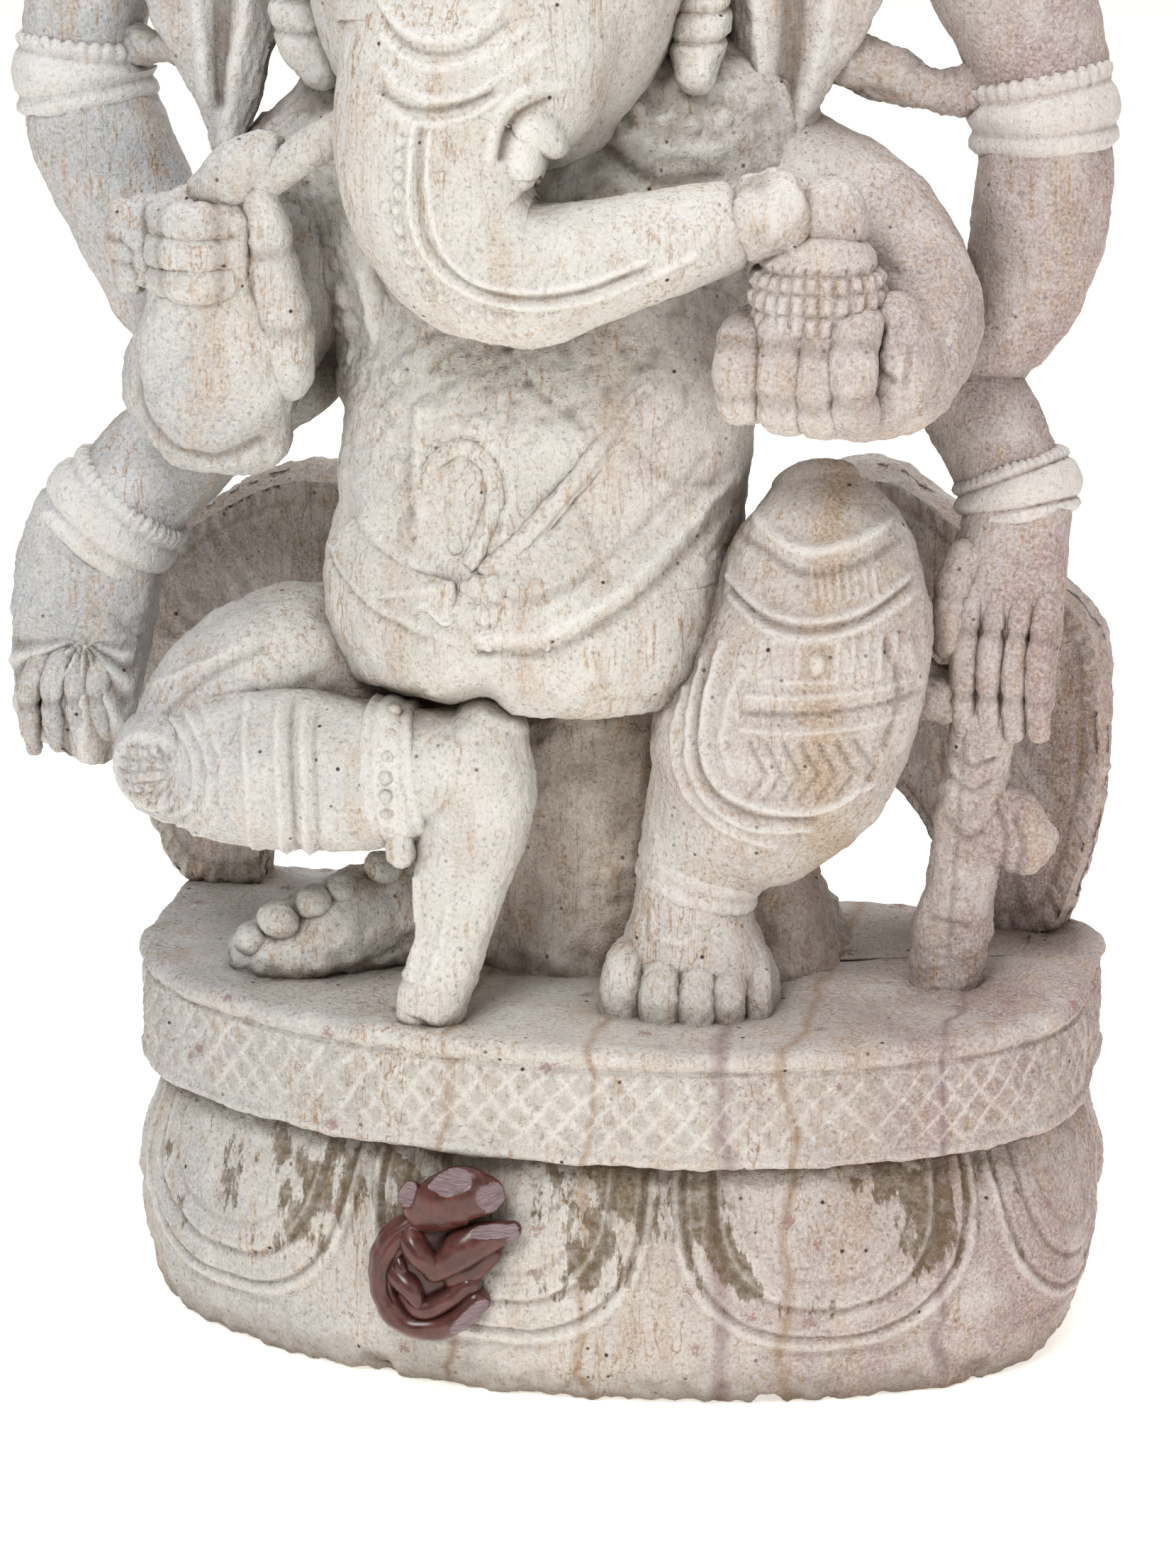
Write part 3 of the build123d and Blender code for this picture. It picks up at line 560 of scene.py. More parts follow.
def makeLotus():
    # the lotus: a bulging profile with a ring of petals, where f passes 1 at each petal's edge
    neck = slabFoot
    profile = [(0, 28), (0, 3.4), (0.4, 2.6), (1.2, 2.1), (3.4, 1.4), (5.6, 0.9), (6.4, 0.75), (8, 0.4),
               (10.5, 0.15), (13.5, 0.1), (16.5, 0.45), (19, 1.0), (21.5, 1.8), (24, 2.8), (neck - 0.4, 3.9),
               (neck, 4.6), (neck, 28)]
    grid, around, length, z, inset = plinthGrid(860, profile, 0.3)

    def relief(p, n):
        # petal, rim, rib and tongue: bell curves about f = 1 and about each petal's middle line
        h = z[:, None]
        f, off, pitch = lotusPetals(p, z, around, length)
        line = lambda at, wide: bell(f - at, wide)
        inside = np.clip((1.02 - f) / 0.07, 0, 1)
        rims = 0.22 * line(0.88, 0.06) - 0.3 * line(
            0.78, 0.035
        ) + 0.12 * line(0.71, 0.03) - 0.26 * line(0.46, 0.03) + 0.16 * line(0.40, 0.025)
        rims = rims - 0.14 * line(0.24, 0.02)
        # a smaller petal shows between two big ones, with a rib down its middle
        tongueOff = (1 - off) * pitch / 2
        tongue = np.clip(1 - (tongueOff / 4.2) ** 2 - ((h - 7.6) / 5.4) ** 2, 0, 1) ** 0.5 * 0.4
        rib = bell(tongueOff, 0.3) * 0.18 * (tongue > 0)
        onPetals = np.clip((h - 5.6) / 0.5, 0, 1) * np.clip(
            (slabFoot - 0.4 - h) / 0.8, 0, 1
        ) * (inset < 4.4)[:, None]
        shape = (inside * lotus["rise"] + rims) * (f < 1.2) + (1 - inside) * (tongue + rib)
        chips = np.clip(ripple(p, 8, 22) - 0.7, 0, 1) * 1.6 * bell(h, 2.0)
        chisel = 0.16 * np.clip(ripple(p * (1.6, 1.6, 0.5), 4, 23), -1, 1) * np.clip((7 - h) / 3, 0.25, 1)
        depth = shape * onPetals - chips - 0.3 * onPetals + chisel
        return depth, (rims * 1.6) * onPetals * (f < 1.2) - 0.25 * chips

    moved, tone = carve(grid, relief, 0.14, 0.045)
    moved[..., 2] = np.clip(moved[..., 2], -slabTop, None)  # the foot is sawn flat
    f = lotusPetals(grid, z, around, length)[0]
    # old water stain: it hangs from under the slab and runs down along the carved lines
    low = 0.5 + 0.5 * ripple((grid + grid[..., 2:] * (0.8, 0, 0)) * (1.5, 1, 0.2), 9, 24)
    alongLines = bell(f - 0.46, 0.16) + 0.7 * bell(f - 0.8, 0.10)
    fromTop = np.clip((z[:, None] - 12.5) / 9, 0, 1)
    stain = np.clip(
        alongLines * (0.25 + 0.75 * low) * np.clip((z[:, None] - 9) / 6, 0, 1) + 0.7 * fromTop * low, 0, 1
    )
    stain = stain * np.clip((-grid[..., 1] - 8) / 10, 0, 1) * (inset < 5)[:, None]
    return [(moved, tone, stain)]


stonePiece("plinth_slab", makeSlab(), ["plinth_slab"], plinthStone)
stonePiece("lotus_base", makeLotus(), ["lotus_base"], plinthStone)
print("plinth carved")


# the torso and the belly
bellyLine = [(-6, -5.2, 30.6, 11.6, 8.6), (-6, -5.2, 31.6, 15.6, 12), (-6, -5.2, 34, 18.8, 14.9),
             (-6.4, -5, 38, 20.5, 16.5), (-7, -4.4, 43, 21.2, 17.2), (-7, -4, 48, 21.2, 16.2),
             (-6.2, -3.2, 54, 21, 15), (-5.6, -2.2, 60, 21, 13.8), (-6, -1, 66, 20.8, 12.6),
             (-7, 0, 72, 19.6, 11.6), (-7.6, 0.6, 76.5, 17.6, 10.8)]


def bellyFront(x, z):
    # y of the belly's front face above the point (x, z), from the line of ellipses
    line = np.array(bellyLine)
    cx, cy, wide, deep = [np.interp(z, line[:, 2], line[:, k]) for k in (0, 1, 3, 4)]
    return cy - deep * np.clip(1 - np.abs((x - cx) / wide) ** 2.25, 0.05, 1) ** (1 / 2.25)


def makeBelly():
    # the belly: the tube of ellipses, sagging low in front, notched below and marked by worn folds and pearls
    def relief(p, n):
        # every fold, dent and notch is a bell curve in x and height; the pearls are domes in rows
        x, h = p[..., 0], p[..., 2]
        front = frontOnly(n)
        sag = 1.0 * bell(h - 39, 7) * front
        notch = -1.9 * dimple(x + 9.5, 2.4, h - 31.5, 4)
        notch = notch - 0.5 * dimple(x + 18, 6, h - 31, 3.4)
        waist = -0.9 * bell(h - 53, 3) * np.clip((x + 12) / 20, 0, 1) * front
        dent = -1.1 * dimple(x + 26, 3, h - 50.5, 2.6)
        marks = strokes(
            x, h,
            [([(-27, 48.2), (-24, 45.4), (-19.6, 43.0), (-14.9, 41.7), (-10, 40.3)], 0.45, 0.5),
             ([(-26.6, 46.6), (-23.4, 44), (-19, 41.8), (-14.4, 40.4)], 0.32, -0.35),
             ([(-9, 41.2), (-3.8, 41.6), (2.3, 44.4), (7.5, 48.2), (12.7, 53), (18, 58)], 0.8, 0.6),
             ([(-9, 39.6), (-3.4, 39.7), (2.8, 42.5), (8.2, 46.4), (13.6, 51.2), (19, 56)], 0.5, -0.5),
             ([(-7.6, 44.6), (-2, 45.6), (3.4, 49), (8, 53), (12, 58)], 0.5, -0.3),
             ([(-2, 44), (1.4, 46.6), (6, 50.6)], 0.4, 0.25),
             ([(-22.4, 51), (-20.1, 49.4), (-17.8, 48.3), (-14.4, 47.4)], 0.5, 0.45),
             ([(-1, 56), (2, 50.5), (4, 46)], 0.35, -0.25), ([(5, 60), (9, 56), (13.6, 54.6)], 0.4, -0.3),
             ([(-8.2, 69), (-4, 64.4), (0.6, 61.6)], 0.4, -0.3),
             ([(-13.4, 64), (-12.6, 61), (-9.6, 60.4), (-6.8, 57), (-6.9, 51)], 0.5, 0.4),
             ([(-16.6, 62), (-16.4, 56), (-15.4, 50)], 0.5, 0.4),
             ([(-17.6, 62), (-17.4, 56), (-16.4, 50)], 0.3, -0.3)]
        ) * front
        pitted = 0.2 * np.clip(ripple(p, 1.9, 33) - 0.25, -0.2, 1.0) * np.clip((h - 56) / 8, 0, 1) * front
        blocks = beads(x, h, [(-19.5, 65), (-19.3, 60.5), (-18.9, 58.3), (-17.6, 53.8), (-17, 51)], 2.2, 1.1,
                       0.8) * front
        side = beads(x, h, [(-15.8, 62.4), (-13.4, 61.4), (-10.4, 61.2)], 2.6, 1.2, 0.7) * front
        return sag + notch + waist + dent + marks + blocks + side - pitted, marks * 0.8 - pitted * 1.5
    return [carve(tube(bellyLine, 0.36, square=2.25, ends=(0.12, 0.3)), relief, 0.18, 0.05)]


pale("belly", makeBelly())

torsoStations = [(-6.4, 6, 33.5, 15, 10), (-6.6, 5.5, 38, 17, 12), (-7.5, 4.5, 48, 19.5, 13),
                 (-8, 4, 60, 20.5, 13.4), (-8, 3, 70, 22.5, 13.4), (-8.5, 3.4, 80, 27.5, 12.4),
                 (-9, 4.4, 89, 29.5, 11.8), (-10, 5, 97, 21, 10.5), (-10.5, 4, 106, 13, 9)]


def torsoRelief(p, n):
    # chest: pitted ground, folds of a shoulder cloth and two pearl rows, each a smooth bump about a line
    x, h = p[..., 0], p[..., 2]
    front = frontOnly(n)
    pitted = 0.3 * np.clip(ripple(p, 2.0, 31) - 0.1, -0.4, 1.2) * front
    cloth = strokes(
        x, h,
        [([(-24, 74), (-22, 66), (-20, 58)], 0.9, 0.6), ([(-27, 72), (-25.4, 64), (-24, 57)], 0.7, 0.5),
         ([(-22.6, 75), (-20.4, 67), (-19, 61)], 0.5, -0.5), ([(7, 62), (12, 66), (16, 71)], 0.8, 0.6),
         ([(9, 58), (14, 61), (18, 66)], 0.6, -0.5), ([(0, 92), (6, 88), (12, 88)], 0.7, 0.8),
         ([(0, 89), (6, 85), (12, 85.4)], 0.5, -0.6), ([(1, 86), (7, 82.6), (14, 84)], 0.6, 0.6)]
    )
    pearls = beads(x, h, [(-1, 95.4), (4, 92), (10, 90.4), (15, 92)], 2.2, 1.05, 0.9)
    pearls = pearls + beads(x, h, [(-1, 98.6), (5, 95.4), (11, 94)], 2.2, 1.0, 0.8)
    return pitted + (cloth + pearls) * front, (cloth + 0.5 * pearls) * front - np.abs(pitted)


pale("torso", [carve(tube(torsoStations, 0.55, square=2.3, ends=(0.3, 0.4)), torsoRelief, 0.3, 0.08)])

seatStations = [(1, 6.6, -4, 24, 13.4), (0, 6, 5, 21, 12.6), (-1, 5.6, 17, 20, 12.2), (-2, 6, 30, 18.4, 12),
                (-3, 6.6, 36, 17, 11)]
seatGrid = carve(tube(seatStations, 0.6, square=3, ends=(0, 0)), None, 0.5, 0.16)
stonePiece("seat_block", [seatGrid], ["seat_block"], shadedWallStone)
print("body carved")

# the head, trunk, ears and crown
headStations = [
    (-10.5, -4, 91, 13, 11), (-10.5, -5, 97, 17, 14.5), (-10.5, -5, 104, 19, 17), (-10.5, -4, 112, 20.4, 17.6),
    (-10.5, -2, 119, 20, 17), (-10.5, 0, 126, 17.6, 15.4),
]
eyes = {"left": (-21.5, 108), "right": (0.5, 108), "half": (3.2, 1.7)}


def headRelief(p, n):
    # calm half-closed eyes (a dome ringed by a groove), brow lines, and two low domes above them
    x, h = p[..., 0], p[..., 2]
    front = frontOnly(n)
    out = np.zeros_like(x)
    for side in ("left", "right"):
        cx, cz = eyes[side]
        a, b = eyes["half"]
        e = ((x - cx) / a) ** 2 + ((h - cz) / b) ** 2
        out += np.clip(1.1 - e, 0, 1) * 0.8 - bell(np.sqrt(e) - 1.25, 0.16) * 0.5
        out += strokes(x, h, [
            ([(cx - a - 1.2, cz), (cx, cz + b + 1.6), (cx + a + 1.2, cz)], 0.5, 0.5),
            ([(cx - a - 0.8, cz - 1.4), (cx, cz - b - 1.4), (cx + a + 0.8, cz - 1.4)], 0.4, -0.3),
        ])
    out += strokes(
        x, h,
        [([(-22, 121), (-16.5, 119.4), (-10.5, 118.8), (-4.5, 119.4), (1, 121)], 0.5, 0.5),
         ([(-10.5, 111), (-10.5, 117)], 0.9, 0.8), ([(-13.4, 112), (-13.4, 117)], 0.35, 0.35),
         ([(-7.6, 112), (-7.6, 117)], 0.35, 0.35)]
    )
    domes = 1.6 * (bell(x + 16.5, 5) + bell(x + 4.5, 5)) * bell(h - 119, 6)
    return (out + domes) * front


pale("head", [carve(tube(headStations, 0.45, square=2.15, ends=(0.5, 0.6)), headRelief, 0.16, 0.05)])

trunkStations = [(-10.5, -9, 112, 15.5, 10), (-10.5, -12.5, 104.5, 15.4, 10.4), (-11, -15.4, 98, 13.6, 10),
                 (-13.2, -17.4, 92.4, 11.2, 9.2), (-13.2, -19, 88, 10.4, 8.4), (-12.2, -20, 84, 9.7, 7.8),
                 (-9.4, -20.5, 80.2, 8.9, 7.2), (-4.8, -20.6, 78.2, 7.6, 6.6), (1.6, -20, 79.1, 6.2, 5.8),
                 (8, -18.8, 81, 5.4, 5.2), (15, -16.8, 82.8, 4.5, 4.4)]


def trunkRelief(p, n):
    # brow arcs and a double line down the trunk, a boss where the tusk ends, and two rows of dots
    x, h = p[..., 0], p[..., 2]
    front = frontOnly(n)
    raised = [
        (
            [(-18.6, 105), (-16.7, 102.8), (-14.2, 101.8), (-11.6, 101.7), (-9, 102.3), (-7.1, 103.8),
             (-6.4, 105)], 0.42, 0.55
        ), ([(-18, 101.6), (-15.5, 99.7), (-12.3, 99), (-8.8, 99.8), (-5.6, 101.3), (-3.9, 103)], 0.4, 0.42),
        ([(-17.9, 98.5), (-15.3, 96.7), (-11.8, 96.1), (-8.2, 97), (-5.3, 99), (-2.1, 101)], 0.4, 0.5),
        ([(-17.3, 95), (-15, 94), (-11.8, 93.8), (-8.6, 94.8), (-6, 96.5)], 0.38, 0.42),
        (
            [(-14.3, 93.6), (-14.5, 89.9), (-14.4, 84.8), (-13.6, 82.3), (-11.7, 79.4), (-9.1, 77.6),
             (-5.9, 76.5), (-1.7, 76.2), (3.2, 76.9), (8, 78.8), (12.8, 81.2)], 0.36, 0.5
        ),
        (
            [(-12.6, 93.6), (-12.8, 88.7), (-12.3, 84.9), (-11, 81.3), (-8.6, 78.9), (-4.8, 77.9), (-0.8, 77.9),
             (4, 79), (8.4, 80.8)], 0.34, 0.42
        ), ([(-7, 90.6), (-6.6, 93.6), (-5, 96.2), (-2.5, 97.2), (-0.9, 97)], 0.5, 0.6)
    ]
    cut = [
        ([(-17.9, 96.6), (-15.7, 95.4), (-12.4, 95.1), (-9.2, 95.8), (-7, 96.7)], 0.35, -0.32),
        ([(-18, 103.4), (-15.7, 101.2), (-12, 100.4), (-8.6, 101.2), (-5.6, 103.4)], 0.3, -0.25),
        (
            [(-13.6, 93.6), (-13.7, 88.7), (-13.5, 84.9), (-12.4, 81.9), (-10, 79.3), (-6.4, 77.5), (-1.7, 77),
             (3, 77.9), (8, 79.8)], 0.3, -0.25
        ), ([(-6, 90.4), (-5.5, 93), (-4.1, 94.8), (-1.8, 95.8)], 0.35, -0.4)
    ]
    boss = np.sqrt(np.clip(1 - ((x + 3.2) / 2.5) ** 2 - ((h - 90.6) / 4.1) ** 2, 0, 1)) * 1.5
    spots = beads(
        x, h, [(-15.6, 92), (-15.7, 87.1), (-15.8, 84), (-14.9, 80.9), (-12.7, 77.8), (-9.6, 75.8), (-5, 74.8)],
        1.5, 0.62, 0.6
    )
    dots = beads(x, h, [(-11.4, 92), (-11.5, 87), (-10.8, 83.4), (-8.6, 80.8)], 2.1, 0.45, 0.35)
    lines = (strokes(x, h, raised) + strokes(x, h, cut)) * front
    bumps = (boss + spots + dots) * front
    return lines + bumps, 1.5 * lines + 0.5 * bumps


pale("trunk", [carve(tube(trunkStations, 0.3, ends=(0.2, 0.5)), trunkRelief, 0.12, 0.03)])

# ears hang as thick curved leaves with a lengthwise fold
ears = {
    "left": [(-30, 3, 124, 5, 1.8), (-36, 3, 118, 11.5, 2.2), (-39, 2.6, 108, 12, 2.4),
             (-41, 2.2, 99.5, 7.8, 2.4), (-40.6, 1.8, 95, 5.6, 2.3), (-40, 1.4, 90, 3.6, 2.1),
             (-40.2, 1, 85.5, 1.9, 1.6)],
    "right": [(8, 3, 124, 5, 1.8), (14.5, 3, 118, 11.5, 2.2), (18, 2.6, 108, 12, 2.4),
              (18.6, 2.2, 100.5, 7.6, 2.4), (17.6, 1.8, 95.5, 5.6, 2.3), (16.8, 1.4, 90, 3.3, 2.1),
              (16.4, 1, 85.6, 1.7, 1.5)]
}
earFolds = {
    "left": [([(-33, 118), (-35.4, 108), (-37.4, 99), (-38.8, 92), (-39.4, 86)], 1.1, 1.1),
             ([(-40, 118), (-42.6, 106), (-42.4, 97), (-41.4, 90)], 0.9, 0.6),
             ([(-37, 116), (-39.4, 106), (-40.2, 97), (-40.4, 90)], 1.1, -0.9)],
    "right": [([(11, 118), (13.6, 108), (15, 99), (15.8, 91), (16, 86)], 1.0, 1.0),
              ([(20, 116), (22.4, 104), (21, 96), (18.6, 89)], 0.9, 0.8),
              ([(15.6, 116), (18.4, 104), (18.2, 96), (17.2, 89)], 1.2, -1.0)]
}
for side in ("left", "right"):
    pale(f"ear_{side}", [carve(tube(ears[side], 0.42, square=2.4), veined(earFolds[side]), 0.2, 0.09)])


def drop(stations, grooves):
    # an ear drop: a short tapered bar cut round by grooves, with a rounded end
    def relief(p, n):
        # one bell curve cut at each groove height
        h = p[..., 2]
        cut = sum(-0.5 * bell(h - g, 0.32) for g in grooves)
        return cut + 0.25 * np.clip(-n[..., 1], 0, 1)
    return [carve(tube(stations, 0.3, square=2.6), relief, 0.12, 0.05)]


pale(
    "ear_drop_left",
    drop(
        [(-31, -1, 104, 2.9, 2.8), (-31, -3.6, 99.6, 3.1, 2.8), (-29.6, -5, 96.4, 2.8, 2.5),
         (-28.2, -6, 94.6, 2.1, 2)], (101.5, 98.4)
    )
)
pale(
    "ear_drop_right",
    drop([(9.8, -1, 104, 2.7, 2.8), (9.8, -4, 99.8, 3, 2.7), (9.7, -5, 97.2, 2.6, 2.4), (9.8, -6, 95.6, 2, 2)],
         (101.8, 98.9))
)

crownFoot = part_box("crown_band")[0].z / mm - slabTop
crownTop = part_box("crown")[1].z / mm - slabTop
crownX, crownY = -10.5, 0.5


def latheRings(profile, step, squash=1.0):
    # profile points (height, radius) turned about the crown's axis
    prof = np.array(profile, float)
    s = np.concatenate([[0], np.cumsum(np.linalg.norm(np.diff(prof, axis=0), axis=1))])
    at = np.linspace(0, s[-1], int(s[-1] / step))
    z, r = np.interp(at, s, prof[:, 0]), np.interp(at, s, prof[:, 1])
    angle = np.linspace(0, 2 * np.pi, int(2 * np.pi * r.max() / step), endpoint=False)
    x = crownX + r[:, None] * np.cos(angle)
    y = crownY + r[:, None] * np.sin(angle) * squash
    return np.stack([x, y, np.broadcast_to(z[:, None], x.shape)], -1), angle


def makeCrownBand():
    # a turned band with a row of knobs (a cosine round the axis) over small pointed leaves
    f = crownFoot
    grid, angle = latheRings(
        [(f + 0.2, 13), (f, 17.6), (f + 0.5, 18.9), (f + 1.2, 19.1), (f + 1.8, 18.5), (f + 4.2, 18.5),
         (f + 4.8, 19.1), (f + 5.5, 18.9), (f + 6, 17.8), (f + 5.8, 13)], 0.35, 0.95
    )

    def relief(p, n):
        # knobs: a cosine round the axis under a bell curve in height; leaves: a saw tooth round the axis
        h = p[..., 2] - f
        knob = np.cos(angle * 34)[None] * bell(h - 3, 0.9) * 0.45
        leafs = np.clip(1 - np.abs(((angle * 8 / np.pi)[None] % 2) - 1) * 2 - np.abs(h - 3) * 0.3, 0, 1) * 0.5
        return knob + leafs
    return [carve(grid, relief, 0.14, 0.05)]


def makeCrown():
    # a stepped, turned cap: each step carries arches, where |u|^2 + v^3 stays under one
    f, rise = crownFoot + 0.6, crownTop - crownFoot - 1.0
    steps = [(0.0, 0.86), (0.02, 0.9), (0.28, 0.80), (0.31, 0.82), (0.34, 0.70), (0.54, 0.6), (0.57, 0.62),
             (0.6, 0.48), (0.76, 0.38),
             (0.79, 0.40), (0.82, 0.27), (0.88, 0.2), (0.92, 0.22), (0.96, 0.16), (1.0, 0.03)]
    grid, angle = latheRings([(f + a * rise, b * 18.2) for a, b in steps], 0.4, 0.95)

    def relief(p, n):
        # on each step an arch stands where (u / 0.42)^2 + v^3 is under one, with its rim cut round it
        t = (p[..., 2] - f) / rise
        out = np.zeros(p.shape[:2])
        for low, high, count in ((0.03, 0.27, 12), (0.35, 0.53, 10), (0.61, 0.75, 8)):
            u = (angle * count / (2 * np.pi))[None] % 1 - 0.5
            v = np.clip((t - low) / (high - low), 0, 1)
            arch = (np.abs(u) / 0.42) ** 2 + v**3
            within = (t > low) & (t < high)
            out += within * (bell(arch - 0.85, 0.14) * 0.5 + np.clip(0.5 - arch, 0, 1) * 0.9)
        return out
    return [carve(grid, relief, 0.16, 0.06)]


pale("crown_band", makeCrownBand())
pale("crown", makeCrown())
print("head carved")

# the four arms and their armlets
rearArms = {
    "left": [(-27, 8, 99, 7.5, 6.5), (-34, 9.4, 105, 7.5, 6.6), (-43, 10, 108.4, 7.3, 6.5),
             (-51.5, 10, 106, 7, 6.5), (-56.2, 9.4, 100, 6.6, 6.3), (-57.3, 8.5, 92, 6.5, 6.3),
             (-55.4, 8, 84, 7.2, 6.6), (-52.2, 8, 76.5, 7.1, 6.6), (-48.5, 8, 69.5, 6.6, 6.2),
             (-43.5, 8, 62, 6, 6)],
    "right": [(8, 8, 99, 7.5, 6.5), (16, 9.4, 106, 7.5, 6.6), (25, 10, 110.4, 7.5, 6.5),
              (33.5, 10, 109.4, 7.6, 6.5), (39, 9.6, 103, 7.6, 6.4), (41.6, 9, 96.5, 7.2, 6.3),
              (42.9, 8.5, 90, 6.7, 6.3), (43.1, 8, 84, 6.9, 6.6), (42.8, 8, 78.5, 6.8, 6.6),
              (41.3, 8, 72.5, 6.3, 6.2), (37.6, 8, 66.2, 5.6, 5.8)]
}
forearms = {
    "left": [(-35, 8, 60.5, 5.6, 5.8), (-41, 7, 57, 6.3, 6), (-48.7, 5, 50.4, 6.5, 6),
             (-55, 3.8, 43.2, 6.6, 6)],
    "right": [(30, 8, 68, 5, 5.4), (34.6, 7.4, 62.6, 5.5, 5.7), (39.2, 5, 56.4, 5.6, 5.6),
              (42, 3.6, 50.5, 5.3, 5.4)]
}
armRings = {
    "left": [(-57.1, 8.8, 93.6, 6.6, 6.4), (-57.3, 8.5, 90.8, 6.6, 6.4), (-56.9, 8.3, 88, 6.8, 6.5)],
    "right": [(42.1, 8.8, 93.6, 6.9, 6.4), (42.7, 8.6, 90.6, 6.8, 6.4), (43, 8.4, 87.4, 6.9, 6.5)],
}
wristRings = {
    "left": [(-52.0, 4.5, 46.6, 6.8, 6.3), (-54.2, 4.1, 44, 7.1, 6.5), (-56, 3.8, 41.6, 6.9, 6.4)],
    "right": [(40.7, 4.3, 53.8, 5.7, 5.7), (41.5, 3.9, 51.8, 5.8, 5.8), (42, 3.5, 49.8, 5.7, 5.7)],
}


def ringBand(stations, ridges, height, notches=0):
    # a cuff carved round a limb: rounded ridges along it, and notches round the edge of the first ridge
    grid = tube(stations, 0.28, ends=(0.08, 0.08))
    rows, columns = grid.shape[:2]
    t = np.linspace(0, 1, rows)[:, None]
    angle = np.linspace(0, 2 * np.pi, columns, endpoint=False)[None]
    shape = height * np.abs(np.sin(t * np.pi * ridges)) ** 0.6 * (0.35 + 0.65 * np.sin(np.pi * t))
    if notches:
        shape = shape - 0.3 * (np.cos(angle * notches) > 0.4) * (t < 1 / ridges) * np.sin(t * np.pi * ridges)
    return [carve(grid, lambda p, n: shape + 0.12, 0.12, 0.05)]


frontArms = {
    "left": [(-22, 4, 84, 7.5, 6.5), (-27.5, 3, 79, 7.6, 6.8), (-33, 0.5, 73.4, 8, 7.2),
             (-38, -3.4, 67, 8.6, 7.8), (-40.6, -5.4, 62.2, 9, 8)],
    "right": [(10, 4.6, 84, 7.5, 6.5), (17, 3.6, 83.6, 7.2, 6.6), (24, 1.6, 81.4, 6.9, 6.5),
              (30, -1.6, 76.6, 6.6, 6.4), (32.6, -5.6, 71, 6.3, 6.2), (31.2, -10, 67, 5.9, 5.9)]
}
frontWrists = {
    "left": [(-41, -6.6, 61.6, 8.4, 7.4), (-39.4, -9.4, 66, 8.3, 6.8), (-38.2, -11.4, 71, 7.2, 6),
             (-38, -12.2, 75, 6.6, 5.4)],
    "right": [(31, -10.6, 66.6, 5.6, 5.6), (27.4, -13.2, 66.4, 5.4, 5.3), (23.6, -14.8, 67, 5.2, 5)]
}

armMaker = {"left": pale, "right": pink}
for side in ("left", "right"):
    make = armMaker[side]
    make(f"rear_upper_arm_{side}", [carve(tube(rearArms[side], 0.5), None, 0.18, 0.05)])
    make(f"rear_forearm_{side}", [carve(tube(forearms[side], 0.45), None, 0.18, 0.05)])
    make(f"armlet_{side}", ringBand(armRings[side], 3, 0.9, 30))
    make(f"bracelet_{side}", ringBand(wristRings[side], 3, 0.8, 44))
    pale(f"front_arm_{side}", [carve(tube(frontArms[side], 0.45), None, 0.2, 0.06)])
    pale(f"front_forearm_{side}", [carve(tube(frontWrists[side], 0.4), None, 0.18, 0.06)])
print("arms carved")


# the four hands, each with what it holds
def finger(stations, creases=2, step=0.28):
    # a finger: a thin rounded tube with a shallow crease at each joint
    def relief(p, n):
        # creases: bell curves at even parts of the length
        t = np.linspace(0, 1, p.shape[0])[:, None]
        return sum(
            -0.28 * bell(t - (k + 1) / (creases + 1), 0.035) for k in range(creases)
        ) * np.ones(p.shape[:2])
    return carve(tube(stations, step, square=2.4), relief, 0.1, 0.05)


# the left fist: a squared block of curled fingers, a small knuckle block beside it, the pen finger
# up its right side
leftFront = [carve(
    tube([(-45, -11.8, 77.4, 4.4, 4.8), (-40, -12.8, 78, 5.3, 5.2), (-35, -12.8, 78.4, 5.2, 4.6)], 0.3,
         reference=(0, -1, 0), square=2.8, ends=(0.5, 0.5)),
    veined([([(-44.4, 82), (-44, 73.6)], 0.5, -0.9), ([(-43, 79.2), (-35, 79.8)], 0.4, -0.55),
            ([(-43.4, 76.2), (-35.6, 76.4)], 0.4, -0.55), ([(-40.4, 82), (-40.8, 80)], 0.4, -0.4),
            ([(-39.4, 79), (-39.6, 76.6)], 0.35, -0.4)]), 0.45, 0.1
)]
leftFront.append(carve(
    tube([(-47.2, -12.4, 81, 1.7, 2.6), (-47, -13.4, 77.4, 1.9, 3.1), (-46.6, -12.6, 73.8, 1.7, 2.6)], 0.26,
         square=2.8, ends=(0.6, 0.6)),
    veined([([(-49, 78.8), (-45, 78.6)], 0.35, -0.4), ([(-49, 76.2), (-45, 76)], 0.35, -0.4)]), 0.2, 0.07
))
for h, left, right in ((80.6, -43.2, -35.4), (77.6, -43.8, -34.8), (74.6, -43.4, -35)):
    leftFront.append(finger(
        [(left, -14.6, h, 1.9, 1.6), (left + 2.6, -16.8, h + 0.2, 2.1, 1.9),
         (right - 2.4, -17, h + 0.3, 2.1, 1.9), (right, -15, h + 0.2, 1.9, 1.6)], 2
    ))
leftFront.append(finger(
    [(-31.2, -12.6, 65, 3.2, 3), (-30.8, -13.8, 71, 2.9, 3), (-31.6, -14.6, 76.4, 2.5, 2.6),
     (-32, -14.8, 80.4, 2.3, 2.4), (-32.8, -14.6, 83.4, 1.9, 2)], 2
))
leftFront.append(carve(
    tube([(-37.4, -13.6, 83.2, 2.8, 2.6), (-35.2, -14.4, 85.6, 3.3, 3.1), (-32.8, -14.4, 87, 2.6, 2.6)], 0.3),
    None, 0.3, 0.07
))
